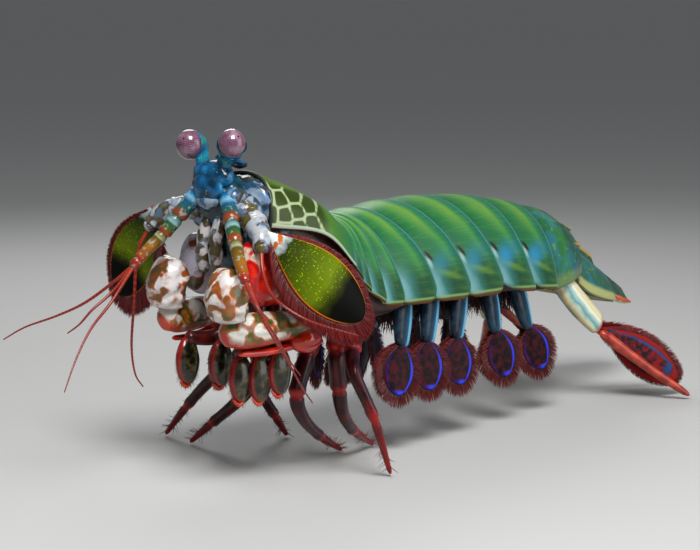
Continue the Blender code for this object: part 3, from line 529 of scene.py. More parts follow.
def island_gap(spot):
    """How much further, in millimetres, the second nearest island is than the nearest."""
    folded = Vector((spot[0], abs(spot[1]), spot[2]))
    gaps = sorted((folded - Vector(island)).length for island in ISLANDS)
    return gaps[1] - gaps[0]


def carapace_paint():
    """Yellow-green lacquer with olive islands in a white net at its front corners, and a painted shadow
    along its lower edge.
    """
    material, tree, shader = new_finish("yellow_green_carapace",
                                        roughness=0.38, coat=0.05, coat_roughness=0.2, specular=0.3)
    along, across, net = flow_of(tree)
    low = add(tree, MATH, {0: across}, operation="ABSOLUTE")
    swayed = drifting(tree, along, 0.2, 5.0)
    base = add(tree, RAMP, {0: swayed}, stops=[
        (0.0, "#445C14"), (0.3, "#4C6C18"), (0.6, "#3E6C24"), (0.85, "#2F6A34"), (1.0, "#22604A")])
    near = add(tree, RAMP, {0: drifting(tree, along, 0.06, 3.0)}, stops=[(0.48, 1.0), (0.56, 0.0)])
    side = add(tree, RAMP, {0: drifting(tree, low, 0.06, 3.0)}, stops=[(0.38, 0.0), (0.46, 1.0)])
    zone = add(tree, MATH, {0: near, 1: side}, operation="MULTIPLY")
    island = add(tree, MATH, {0: zone, 1: add(tree, RAMP, {0: net}, stops=[(0.14, 0.0), (0.30, 1.0)])},
                 operation="MULTIPLY")
    white = add(tree, MATH, {0: zone, 1: add(tree, RAMP, {0: net}, stops=[(0.09, 1.0), (0.24, 0.0)])},
                operation="MULTIPLY")
    margin = add(tree, RAMP, {0: low}, stops=[(0.945, 0.0), (0.956, 1.0), (0.985, 1.0), (0.99, 0.0)])
    # Painted shadow: the outermost side edge, where the carapace rolls under, is painted near black.
    dark = add(tree, RAMP, {0: low}, stops=[(0.985, 0.0), (0.99, 1.0)])
    front = add(tree, RAMP, {0: along}, stops=[(0.012, 1.0), (0.02, 0.0)])
    lip = add(tree, RAMP, {0: along}, stops=[(0.975, 0.0), (0.985, 1.0)])
    dress(tree, shader, base, [
        (island, "#2A3A08"), (white, "#9CA884"), (margin, "#A4B29A"), (dark, "#2A1A10"),
        (front, "#20241C"), (lip, "#4A3A1C")], grain=0.5, height=0.03)
    return material


CARAPACE_PAINT = carapace_paint()


def carapace_place(u, v):
    """The carapace runs from the brow over the saddle to its rear lip."""
    turn = math.radians(90) * (2 * v - 1)
    route = [hoop_point(hoop, turn) for hoop in (BROW, SADDLE, CARAPACE_REAR)]
    share = ease(u)
    spot = Vector(along_route(route, share))
    normal = (hoop_point(SADDLE, turn, 1.0) - hoop_point(SADDLE, turn)).normalized()
    drop = lip_drop(CARAPACE_SPAN * (1 - share), 0.4) + lip_drop(CARAPACE_SPAN * share, 0.5)
    drop += lip_drop((1 - abs(2 * v - 1)) * CARAPACE_ARC, 0.3) + 0.4 * math.sin(math.pi * share)
    spot = spot + normal * drop
    return spot, (share, 2 * v - 1, island_gap(spot) / NET_UNIT)


carapace = skin("shell_carapace", rows=56, columns=90, place=carapace_place, wall=CARAPACE_WALL)
settle(carapace, CARAPACE_PAINT, "shell_green", "carapace")
print("carapace", len(carapace.data.polygons), "faces,", 2 * len(ISLANDS), "islands")

# %% [markdown]
# The sixth ring has no loose lip. It ends in a rear face that carries the telson and the two
# halves of the tail fan. Its six ridges end in small spines. They are swellings of the same
# grid, which is fine enough to hold them, so they grow out of the ring without a seam.
# %% Sixth ring
def tail_paint(name, base_stops, blue, cream):
    """Green lacquer with light blue clouds and thin yellow ridges, for the tail."""
    material, tree, shader = new_finish(name, roughness=0.32, coat=0.12, coat_roughness=0.15)
    along, across, ridge = flow_of(tree)
    base = add(tree, RAMP, {0: drifting(tree, along, 0.3, 3.0)}, stops=base_stops)
    clouds = add(tree, RAMP, {0: speckle(tree, 4.5, 3.0)}, stops=[(0.50, 0.0), (0.60, blue)])
    dots = add(tree, RAMP, {0: speckle(tree, 1.4, 1.0)}, stops=[(0.62, 0.0), (0.70, 0.7)])
    crest = add(tree, RAMP, {0: ridge}, stops=[(0.55, 0.0), (0.75, 1.0)])
    rim = add(tree, RAMP, {0: add(tree, MATH, {0: across}, operation="ABSOLUTE")},
              stops=[(0.90, 0.0), (0.95, cream)])
    end = add(tree, RAMP, {0: along}, stops=[(0.98, 0.0), (0.99, 1.0)])
    dress(tree, shader, base, [(clouds, "#2A7A98"), (dots, "#5A8230"), (rim, "#A8AC6A"),
                               (crest, "#B08A3A"), (end, "#6A3A18")], grain=0.5, height=0.04)
    return material


TAIL_GREEN = tail_paint("green_blue_tail_ring", [
    (0.0, "#144A34"), (0.4, "#286A34"), (0.6, "#14422A"), (0.9, "#1A5444")], 0.35, 0.2)
TELSON_GREEN = tail_paint("green_blue_telson", [
    (0.0, "#1A5440"), (0.25, "#1C5C4C"), (0.45, "#144426"), (0.7, "#123C1A"), (1.0, "#34440F")], 0.35, 0.9)
TOOTH_RED = plain_paint("red_tooth", "#B03018", "#D05A28", size=1.5)
RIDGES = (0.16, 0.42, 0.68)
RIDGE_WIDE = 0.035


def ridge_height(low, seen):
    """Six low ridges run back over the ring and end in small spines."""
    nearest = max(math.exp(-((low - ridge) / RIDGE_WIDE) ** 2) for ridge in RIDGES)
    return nearest * (0.2 + 0.8 * seen ** 2)


def sixth_ring_place(u, v):
    """The ring itself up to u 0.8, and past that its rear face."""
    across = 2 * v - 1
    turn = math.radians(90) * across
    fifth = ABDOMEN[-1][1]
    start, end = hoop_point(fifth, turn), hoop_point(TAIL_RING_REAR, turn)
    span = (end - start).length
    over = min(u / 0.8, 1.0)
    behind = -TUCK + (span + TUCK) * ease(over)
    seen = min(max(behind / span, 0.0), 1.0)
    depth = -LIP_STEP * (1 - seen) ** 2 + 0.8 * math.sin(math.pi * seen) + lip_drop(span - behind, 0.5)
    if behind < 0:
        depth -= 0.25 * min(1.0, -behind / 0.3)
    ridge = ridge_height(abs(across), seen)
    depth += 0.55 * ridge
    behind += 0.9 * ridge * seen ** 6
    spot = hoop_point(fifth, turn, depth).lerp(hoop_point(TAIL_RING_REAR, turn, depth), behind / span)
    if u > 0.8:
        inwards = (u - 0.8) / 0.2
        middle = Vector((TAIL_RING_REAR.foot_x, 0, 30.5))
        spot = spot.lerp(middle, 0.75 * inwards)
    return spot, (seen, across, ridge)


sixth = skin("shell_sixth_ring", rows=48, columns=200, place=sixth_ring_place, wall=PLATE_WALL)
settle(sixth, TAIL_GREEN, "shell_green", "abdomen_tergite_6")
print("sixth ring", 2 * len(RIDGES), "ridges")

# %% [markdown]
# The telson is the last plate: an arched shield with a tall keel along its middle and three
# pairs of teeth on its rear margin. A cross-section at a few stations gives its half width, its
# margin, its middle and its keel, and a curve joins them, as the frames of a boat do.
# %% Telson
TELSON = [(62.8, 9.3, 24.8, 35.9, 0.2), (66.5, 9.4, 22.6, 33.4, 0.8), (72.0, 9.2, 20.8, 30.2, 1.7),
          (77.5, 8.3, 19.6, 27.2, 2.3), (80.2, 7.2, 19.0, 25.7, 2.4), (81.4, 6.6, 18.7, 25.0, 0.3),
          (86.0, 5.2, 17.6, 22.8, 0.2), (90.6, 3.6, 16.8, 20.0, 0.0), (92.4, 1.6, 16.6, 18.4, 0.0)]
TELSON_TEETH = [((78.0, 6.8, 19.6), (82.4, 7.0, 18.4)), ((83.4, 4.9, 18.6), (88.0, 5.3, 17.2)),
                ((89.0, 2.4, 17.8), (92.6, 3.0, 16.3))]
TELSON_WALL = 0.8


def telson_place(u, v):
    """The shield between its stations: u runs to the rear and v from side to side."""
    side = math.sin(math.pi * (v - 0.5))
    x, half, margin, middle, keel = along_route(TELSON, ease(u))
    ridge = keel * math.exp(-(side * half / 0.8) ** 2)
    ridge += 0.35 * math.exp(-((abs(side) - 0.55) / 0.05) ** 2) * math.sin(math.pi * u) ** 0.5
    round_off = lip_drop((1 - abs(side)) * half, 0.5)
    lift = (middle - margin) * (1 - side * side) + ridge + round_off
    return (x, side * half, margin + lift), (ease(u), side, ridge / 2.4)


telson = skin("shell_telson", rows=60, columns=80, place=telson_place, wall=TELSON_WALL)
settle(telson, TELSON_GREEN, "shell_green", "telson")
for k, (root, tip) in enumerate(TELSON_TEETH):
    for side, sign in SIDES.items():
        stops = [(root[0], sign * root[1], root[2], 0.8, 1.0), (tip[0], sign * tip[1], tip[2], 0.2, 0.22)]
        tooth = tube("telson_tooth_%d_%s" % (k + 1, side), stops, rows=10, columns=12)
        settle(tooth, TOOTH_RED, "shell_green", "telson")
print("telson teeth", 2 * len(TELSON_TEETH))

# %% [markdown]
# Under the armour lies soft flesh. One closed skin serves the whole trunk, from the breast to
# the tail, so no joint shows between the plates and below them. It is matt and painted near black,
# as painted shade under the plates and between the legs, so that the glossy plates stand out from
# it. Without it, light would fall through between the legs.
# %% Flesh under the plates
FLESH_HOOPS = [BROW, SADDLE, CARAPACE_REAR] + [hoop for _, hoop in CHEST + ABDOMEN]
FLESH_BELLY = [36.5, 31.5, 27.5, 26.0, 25.0, 24.6, 25.4, 30.2, 30.5, 30.5, 30.2, 29.4]
FLESH_INSET = 2.0


def flesh_place(u, v):
    """A rounded trunk inside the hoops, flatter below than above."""
    turn = math.tau * v
    stops = [(hoop.top_x, hoop.top_z, hoop.half_width, hoop.foot_x, hoop.foot_z, belly)
             for hoop, belly in zip(FLESH_HOOPS, FLESH_BELLY)]
    top_x, top_z, half, foot_x, foot_z, belly = along_route(stops, ease(u))
    inwards = round_end(ease(u), (0.03, 0.03))
    rise = math.copysign(abs(math.cos(turn)) ** (2 / ARCH_POWER), math.cos(turn))
    out = math.copysign(abs(math.sin(turn)) ** (2 / ARCH_POWER), math.sin(turn))
    tall = top_z - foot_z
    if rise > 0:
        z = foot_z + rise * (tall - FLESH_INSET) * inwards
    else:
        z = foot_z + rise * (foot_z - belly) * inwards
    x = foot_x + (top_x - foot_x) * (z - foot_z) / tall
    return (x, out * (half - FLESH_INSET) * inwards, z), (u, math.cos(turn), math.sin(turn))


flesh = skin("soft_flesh", rows=90, columns=48, place=flesh_place)
# Painted shade: the flesh is painted near black, as it lies in shade under the plates and between the legs.
settle(flesh, plain_paint("matt_flesh_painted_shade", "#1A0A0A", "#3E1A14", size=2, roughness=0.5),
       "belly_flesh", "thorax_underside", "abdomen_underside")
print("flesh", len(flesh.data.polygons), "faces")

# %% [markdown]
# Eyes on short stalks. Each eye is an upright oval with a band of fine lines across it, where
# its rows of facets are. The dark dots are the facets that look straight at the viewer. The
# lines are drawn coarser than the rows, which would be too fine to show.
# A cast eye would be clear resin over paint: very smooth, with a thin coat, so it gives small
# sharp highlights.
# %% Cornea finish
EYES = {"left": (-37.6, -5.2, 58.7), "right": (-36.9, 5.4, 58.1)}
EYE_SIZE = (2.35, 2.35, 2.6)
EYE_BASE = Vector((-37.0, 1.9, 54.6))
EYE_BAND = {"left": (0.45, -0.36, 0.81), "right": (0.03, 0.18, 0.98)}
EYE_DOTS = {"left": [(-0.194, -0.814, 0.548)], "right": [(-0.857, -0.248, 0.447), (-0.601, -0.555, -0.572)]}
EYE_FACING = {"left": Vector((-0.50, -0.61, 0.61)), "right": Vector((-0.98, -0.10, 0.16))}


def cornea_paint(side):
    """Clear lacquer over pink-lilac, crossed by a band of fine dark lines, with tiny black dots, and painted
    shade that darkens it to magenta towards its cup.
    """
    material, tree, shader = new_finish("glossy_lilac_cornea_" + side,
                                        roughness=0.14, coat=0.5, coat_roughness=0.04)
    way = add(tree, "ShaderNodeAttribute", attribute_name="flow", out="Vector")
    tall = add(tree, "ShaderNodeVectorMath", {0: way, 1: EYE_BAND[side]}, out="Value",
               operation="DOT_PRODUCT")
    back = add(tree, "ShaderNodeVectorMath", {0: way, 1: EYE_FACING[side]}, out="Value",
               operation="DOT_PRODUCT")
    base = add(tree, RAMP, {0: speckle(tree, 1.6)}, stops=[(0.35, "#64465A"), (0.5, "#7C5A6C"),
                                                         (0.65, "#96788A")])
    waves = add(tree, MATH, {0: drifting(tree, tall, 0.06, 1.2), 1: 52.0}, operation="MULTIPLY")
    waves = add(tree, MATH, {0: waves}, operation="SINE")
    waves = add(tree, RAMP, {0: waves}, stops=[(0.3, 0.0), (0.9, 1.0)])
    middle = add(tree, MATH, {0: add(tree, MATH, {0: tall, 1: -0.02}, operation="ADD")},
                 operation="ABSOLUTE")
    middle = add(tree, RAMP, {0: middle}, stops=[(0.20, 1.0), (0.32, 0.12), (0.6, 0.0)])
    lines = add(tree, MATH, {0: waves, 1: middle}, operation="MULTIPLY")
    # Painted shade: crown and rim darken the eye to deep magenta on its side towards the cup, where the cup
    # shades it.
    rim = add(tree, MATH, {0: back, 1: -1.0}, operation="MULTIPLY")
    rim = add(tree, RAMP, {0: rim}, stops=[(0.0, 0.2), (0.3, 0.9)])
    crown = add(tree, RAMP, {0: back}, stops=[(0.1, 0.6), (0.45, 0.0)])
    layers = [(crown, "#6A3A50"), (lines, "#38203A"), (rim, "#5A2238")]
    for dot in EYE_DOTS[side]:
        near = add(tree, "ShaderNodeVectorMath", {0: way, 1: dot}, out="Value", operation="DISTANCE")
        layers.append((add(tree, RAMP, {0: near}, stops=[(0.05, 1.0), (0.09, 0.0)]), "#0A0508"))
    dress(tree, shader, base, layers, grain=0.1, height=0.002)
    return material


print("dark dots on the eyes", sum(len(dots) for dots in EYE_DOTS.values()))

# %% [markdown]
# The head and the cups of the eyes are deep blue and turquoise, very wet and glossy. One
# finish does for them all, with its own three blues for each part. It is polished lacquer: the
# colour looks deep, and the lamps show in it as small bright lights, as on wet enamel.
# %% Blue lacquer
def blue_paint(name, deep, mid, light, roughness=0.18):
    """Glossy blue lacquer with turquoise clouds and pale flecks."""
    material, tree, shader = new_finish(name, roughness, coat=0.25, coat_roughness=0.08, specular=0.3)
    base = add(tree, RAMP, {0: speckle(tree, 2.6, 1.5)}, stops=[(0.36, deep), (0.5, mid), (0.66, light)])
    flecks = add(tree, RAMP, {0: speckle(tree, 0.5, 1.0)}, stops=[(0.68, 0.0), (0.74, 0.4)])
    dress(tree, shader, base, [(flecks, "#8AC0D0")], grain=0.35, height=0.05)
    return material


HEAD_BLUE = blue_paint("blue_lacquered_head", "#04283C", "#084A74", "#1270A0")
CUP_BLUE = blue_paint("blue_green_eye_cup", "#043C54", "#085A80", "#12866A")
# Near-black teal: partly the face's own colour, partly painted shade in the hollow under the head.
HEAD_DARK = blue_paint("dark_teal_face", "#04141C", "#0A3A4A", "#1A5A6A")
print("blue finishes", [paint.name for paint in (HEAD_BLUE, CUP_BLUE, HEAD_DARK)])

# %% [markdown]
# Each eye sits in a cup on a short stalk, and the two look different ways, as they do in life.
# The cup could be cut from a sphere. As a tube that widens round the eye it grows out of the
# stalk in one piece.
# %% Eyes and cups
def ball_way(u, v):
    """The way from the middle of a ball to its surface: u from pole to pole and v round it."""
    polar, turn = math.pi * u, math.tau * v
    return Vector((math.sin(polar) * math.cos(turn), math.sin(polar) * math.sin(turn), math.cos(polar)))


def eye(side):
    """The upright oval of one eye."""
    centre = Vector(EYES[side])

    def place(u, v):
        way = ball_way(u, v)
        return centre + Vector([w * r for w, r in zip(way, EYE_SIZE)]), tuple(way)

    return skin("eye_cornea_" + side, rows=40, columns=48, place=place)


def eye_cup(side):
    """A cup that holds the eye from behind, and the short stalk that carries it."""
    facing = EYE_FACING[side].normalized()
    base = Vector((EYE_BASE.x, SIDES[side] * EYE_BASE.y, EYE_BASE.z))
    centre = Vector(EYES[side])
    route = [(base - Vector((0, 0, 0.8)), 1.3), (base.lerp(centre - facing * 2.9, 0.5), 1.25),
             (centre - facing * 2.7, 1.7), (centre - facing * 1.9, 2.2), (centre - facing * 1.0, 2.52),
             (centre - facing * 0.35, 2.6), (centre - facing * 0.1, 2.5)]
    stops = [(*spot, wide, wide) for spot, wide in route]
    return tube("eye_cup_" + side, stops, flat=(0.3, 0.9, 0.3), rows=48, columns=40, ends=(0.06, 0.0))


for side in SIDES:
    settle(eye(side), cornea_paint(side), "eye_lilac", "eye_" + side)
    settle(eye_cup(side), CUP_BLUE, "head_blue", "eye_stalk_" + side)
print("eyes", [round(2 * value, 1) for value in EYE_SIZE], "mm across")

# %% [markdown]
# Mottled paint serves the white parts of the head, the claws and the feeler roots: a pale
# ground, islands of a second colour and a thin line of a third round each island. One noise
# read by a stepped ramp gives all three, so the line always follows the island. The sizes are
# in millimetres of the real mottling, 1.8 to 3.6 across. Polished lacquer makes the white
# ground shine like porcelain.
# %% Mottled paint
def mottled_paint(name, ground, line, island, size=2.6, cover=0.5, tint="#8FB0C8", cloud=0.3, edge=None):
    """Glossy mottling. Cover is how much of it is ground; edge is a colour for the lower rim."""
    material, tree, shader = new_finish(name, roughness=0.22, coat=0.25, coat_roughness=0.08)
    _, top, _ = flow_of(tree)
    place = add(tree, "ShaderNodeTexCoord", out="Object")
    value = add(tree, "ShaderNodeTexNoise", {"Vector": place, "Scale": 1 / (size * MM), "Detail": 1.2,
                                             "Roughness": 0.4, "Distortion": 0.5})
    base = add(tree, RAMP, {0: value}, stops=[
        (cover - 0.05, ground), (cover, line), (cover + 0.03, line), (cover + 0.07, island),
        (cover + 0.15, island), (cover + 0.22, line)])
    blush = add(tree, RAMP, {0: speckle(tree, 0.6, 3.0)}, stops=[(0.46, 0.0), (0.62, 0.55)])
    near = add(tree, RAMP, {0: value}, stops=[(cover - 0.16, 0.0), (cover - 0.04, 1.0), (cover + 0.02, 0.0)])
    blush = add(tree, MATH, {0: blush, 1: near}, operation="MULTIPLY")
    clouds = add(tree, RAMP, {0: speckle(tree, 2.2, 1.0)}, stops=[(0.52, 0.0), (0.66, cloud)])
    layers = [(clouds, tint), (blush, line)]
    if edge:
        low = add(tree, MATH, {0: top, 1: -1.0}, operation="MULTIPLY")
        low = add(tree, RAMP, {0: drifting(tree, low, 0.5, 2.0)}, stops=[(0.45, 0.0), (0.85, 1.0)])
        layers.append((low, edge))
    dress(tree, shader, base, layers, grain=0.5, height=0.05)
    return material


HEAD_WHITE = mottled_paint("white_blue_membrane", "#8494A4", "#24425E", "#34342A", 1.9, 0.51, "#2A6A9A", 0.5)
PALP_WHITE = mottled_paint("white_olive_palp", "#A8A4A4", "#4A3428", "#3A3A20", 1.8, 0.50)
print("mottled finishes", [paint.name for paint in (HEAD_WHITE, PALP_WHITE)])

# %% [markdown]
# The head between the eyes and the claws: a blue shield under the eyes, pale membranes where
# the feelers spring, a dark hollow and the two whitish palps of the mouth. The hollow's near-black
# teal is partly the face's own colour and partly painted shade under the head. These soft parts
# bulge into each other, so they are uneven lumps that overlap, as a sculptor would press them on.
# %% Head
HEAD_LUMPS = [("core", (-34.4, 0, 48.6), (4.0, 4.8, 5.0), HEAD_DARK),
              ("brow", (-36.7, 0, 53.2), (2.5, 4.3, 2.4), HEAD_BLUE),
              ("shield", (-37.9, 0.2, 51.2), (1.8, 3.2, 2.9), HEAD_BLUE),
              ("face", (-37.8, 0.1, 48.9), (1.6, 2.4, 1.6), HEAD_WHITE),
              ("root_left", (-36.0, -4.3, 49.6), (1.9, 1.6, 1.7), HEAD_WHITE),
              ("root_right", (-36.0, 4.3, 49.6), (1.9, 1.6, 1.7), HEAD_WHITE),
              ("cheek_left", (-33.4, -5.6, 46.4), (2.2, 2.2, 3.0), HEAD_WHITE),
              ("cheek_right", (-33.4, 5.6, 46.4), (2.2, 2.2, 3.0), HEAD_WHITE),
              ("neck", (-30.0, 0, 47.6), (2.6, 7.5, 5.2), HEAD_WHITE),
              ("chin", (-27.5, 0, 43.0), (4.0, 8.6, 5.0), HEAD_DARK),
              ("lip", (-32.6, 0, 42.0), (3.5, 4.1, 6.0), HEAD_DARK)]


def lump(name, centre, radii, wave=0.05, size=1.6):
    """A rounded lump whose surface is gently uneven."""
    def place(u, v):
        way = ball_way(u, v)
        spot = Vector(centre) + Vector([w * r for w, r in zip(way, radii)])
        swell = wave * noise.noise(spot / size)
        return Vector(centre) + (spot - Vector(centre)) * (1 + swell), tuple(way)

    return skin(name, rows=28, columns=40, place=place)


for name, centre, radii, paint in HEAD_LUMPS:
    settle(lump("head_" + name, centre, radii, 0.12), paint, "head_blue", "head")
for side, sign in SIDES.items():
    stops = [(-36.4, sign * 1.3, 46.4, 0.8, 0.8), (-37.6, sign * 1.5, 43.0, 1.15, 1.25),
             (-38.0, sign * 1.6, 39.4, 1.25, 1.3), (-37.4, sign * 1.5, 36.2, 0.9, 0.9)]
    palp = tube("head_palp_" + side, stops, flat=(1, 0, 0), rows=30, columns=20,
                shape=lambda share, turn: 1 - 0.22 * math.exp(-((share - 0.5) / 0.06) ** 2))
    settle(palp, PALP_WHITE, "head_blue", "head")
print("head lumps", len(HEAD_LUMPS))

# %% [markdown]
# Blades are flat leaves: the antennal scales, the paddles of the swimming legs, the tail fan
# and the small plate over the eyes. A blade is a grid folded over its own rim. A flat outline
# with a thickness would look stamped. Folding the grid lets it thin towards its rim.
# %% Blades
def blade_half(width, belly, share):
    """Half the width of a blade at a share of its length: slim at its root, round at its tip."""
    power = math.log(0.5) / math.log(belly)
    swell = math.sin(math.pi * min(max(share, 1e-4), 0.9999) ** power)
    return 0.5 * width * swell ** (0.85 - 0.35 * share)


def blade_axes(root, tip, wide_way):
    """The root and length of a blade, and its long, wide and facing ways."""
    root = Vector(root)
    along = Vector(tip) - root
    length = along.length
    along.normalize()
    across = Vector(wide_way) - Vector(wide_way).dot(along) * along
    across.normalize()
    return root, length, along, across, along.cross(across)


def blade(name, root, tip, wide_way, width, thick, belly=0.55, camber=0.0, rows=36, columns=48,
          start=0.02):
    """A leaf from root to tip. Flow is its length, its side from -1 to 1 and the face."""
    root, length, along, across, facing = blade_axes(root, tip, wide_way)

    def place(u, v):
        share = start + (1 - start) * (0.5 - 0.5 * math.cos(math.pi * u))
        turn = math.tau * v
        half = blade_half(width, belly, share)
        side, face = math.cos(turn), math.sin(turn)
        bend = camber * (1 - side * side) * math.sin(math.pi * share)
        lift = 0.5 * thick * math.copysign(abs(face) ** 0.5, face)
        lift *= min(1.0, half / (0.1 * width))
        spot = root + along * share * length + across * side * half + facing * (bend + lift)
        return spot, (share, side, math.copysign(1.0, face))

    return skin(name, rows, columns, place)


ROSTRUM_WIDTH = 6.4
rostrum = blade("shell_rostral_plate", (-30.0, 0, 54.2), (-35.2, 0, 56.2), (0, 1, 0), ROSTRUM_WIDTH,
                1.0, belly=0.4)
settle(rostrum, HEAD_BLUE, "shell_green", "rostral_plate")
print("rostral plate", ROSTRUM_WIDTH, "mm wide")

# %% [markdown]
# Rims of scales, paddles and tail blades carry close fringes of bristles. A fringe is one
# long grid whose strips become thin three-sided spines, each closed at its root and its tip,
# so thousands of bristles cost one operator. Each bristle also gets a small patch of a second
# map, OFBake, at the place where it is rooted. Hair particles would be quicker to set up, but
# they are no mesh, so they would be missing from the model. The bristles are dull, so a fringe
# reads as one soft edge. Real bristles are 0.02 to 0.05 mm thick. These
# are drawn 0.13 to 0.34 mm thick, so that they show.
# %% Fringes
PATCH = 0.003
RINGS = 5
ROOT_GAP = 0.55


def fringe(name, count, bristle, seed=1):
    """Count bristles. Bristle(share, draw) gives root, way, bend, length, width and map place."""
    draw = random.Random(seed)
    strips = 4 * count - 1
    mesh = bmesh.new()
    bmesh.ops.create_grid(mesh, x_segments=RINGS, y_segments=strips, size=0.5)
    between = [face for face in mesh.faces
               if round((face.calc_center_median().y + 0.5) * strips - 0.5) % 4 == 3]
    bmesh.ops.delete(mesh, geom=between, context="FACES")
    flow = mesh.verts.layers.float_vector.new("flow")
    baked = mesh.loops.layers.uv.new("OFBake")
    hairs = [bristle((k + 0.5) / count, draw) for k in range(count)]
    for face in mesh.faces:
        for loop in face.loops:
            strip = round((face.calc_center_median().y + 0.5) * strips - 0.5)
            patch_u, patch_v = hairs[strip // 4][5]
            loop[baked].uv = (patch_u + PATCH * (loop.vert.co.x + 0.5),
                              patch_v + PATCH * (round((loop.vert.co.y + 0.5) * strips) % 4) / 3)
    for vert in mesh.verts:
        along = vert.co.x + 0.5
        index, corner = divmod(round((vert.co.y + 0.5) * strips), 4)
        root, way, bend, length, width, patch = hairs[index]
        middle = root + way * length * along + bend * length * along * along
        first = way.orthogonal().normalized()
        second = way.cross(first).normalized()
        thick = 0.5 * width * (0.0 if along in (0.0, 1.0) else (1.08 - along) ** 0.6)
        turn = math.tau * (corner % 3) / 3
        vert.co = at(middle + (first * math.cos(turn) + second * math.sin(turn)) * thick)
        vert[flow] = (index / count, along, patch[1])
    return finish_piece(name, mesh)


def rim_fringe(name, root, tip, wide_way, width, thick, reaches, count, camber=0.0, belly=0.55,
               start=0.1, bristle_width=0.16, seed=1):
    """Bristles round the rim of a blade; reaches are their lengths on its first and other side."""
    root, length, along, across, facing = blade_axes(root, tip, wide_way)

    def rim(turn):
        share = 0.5 - 0.5 * math.cos(turn)
        half = blade_half(width, belly, share)
        return share, root + along * share * length + across * math.copysign(half, math.sin(turn))

    def bristle(where, draw):
        turn = ROOT_GAP + (math.tau - 2 * ROOT_GAP) * where
        share, spot = rim(turn)
        before, after = rim(turn - 0.04)[1], rim(turn + 0.04)[1]
        tangent = (after - before).normalized()
        outwards = tangent.cross(facing).normalized()
        if outwards.dot(spot - (root + along * 0.5 * length)) < 0:
            outwards = -outwards
        first = math.sin(turn) > 0
        reach = reaches[0] if first else reaches[1]
        blend = min(1.0, abs(math.sin(turn)) / 0.5)
        reach = blend * reach + (1 - blend) * 0.5 * (reaches[0] + reaches[1])
        reach *= min(1.0, share / 0.25) * draw.uniform(0.82, 1.0)
        way = (outwards + along * 0.45 + facing * draw.uniform(-0.08, 0.08)).normalized()
        bend = (along * 0.25 + facing * draw.uniform(-0.1, 0.1))
        lift = facing * draw.uniform(-0.3, 0.3) * thick
        spot = spot - outwards * 0.35 + lift
        patch = (0.02 + 0.94 * where, 0.1 + 0.8 * share)
        return spot, way, bend, reach + 0.35, bristle_width * draw.uniform(0.8, 1.2), patch

    return fringe(name, count, bristle, seed)


def fringe_paint(name, root_colour, middle, tip_colour):
    """Red bristles, darker where they are rooted."""
    material, tree, shader = new_finish(name, roughness=0.45, coat=0.1)
    where, along, _ = flow_of(tree)
    base = add(tree, RAMP, {0: along}, stops=[(0.15, root_colour), (0.5, middle), (1.0, tip_colour)])
    hue = add(tree, "ShaderNodeTexNoise", {"Vector": add(tree, "ShaderNodeCombineXYZ", {0: where}),
                                           "Scale": 60.0})
    shade = add(tree, RAMP, {0: hue}, stops=[(0.4, 0.0), (0.6, 0.5)])
    dress(tree, shader, base, [(shade, root_colour)], grain=0.2, height=0.0)
    return material


FRINGE_RED = fringe_paint("red_bristles", "#4A0806", "#6A0A08", "#8A120C")
print("each bristle has", 3 * RINGS, "faces")

# %% [markdown]
# Antennal scales: two large oval flags beside the head, olive to black, with an orange rim and
# a wide fringe of red bristles. The animal signals with them. Their tip is the deepest black of
# the whole animal, so this lacquer has next to no shine. The dots could be scattered noise, but
# they lie in rows, about 0.7 mm apart along the scale and 0.3 mm across it. So a cell pattern
# is laid on the blade's own length and width.
# %% Antennal scales
SCALE = {
    "left": ((-37.9, -12.5, 44.9), (-23.7, -22.2, 29.1), (0.62, -0.1, 0.8)),
    "right": ((-37.8, 13.4, 47.4), (-34.8, 25.6, 30.2), (-0.08, 0.85, 0.52)),
}
SCALE_WIDTH = 10.2
SCALE_CAMBER = 1.2
SCALE_THICK = 1.0
SCALE_BELLY = 0.6
SCALE_REACHES = (1.1, 3.6)
SCALE_BRISTLES = 1700


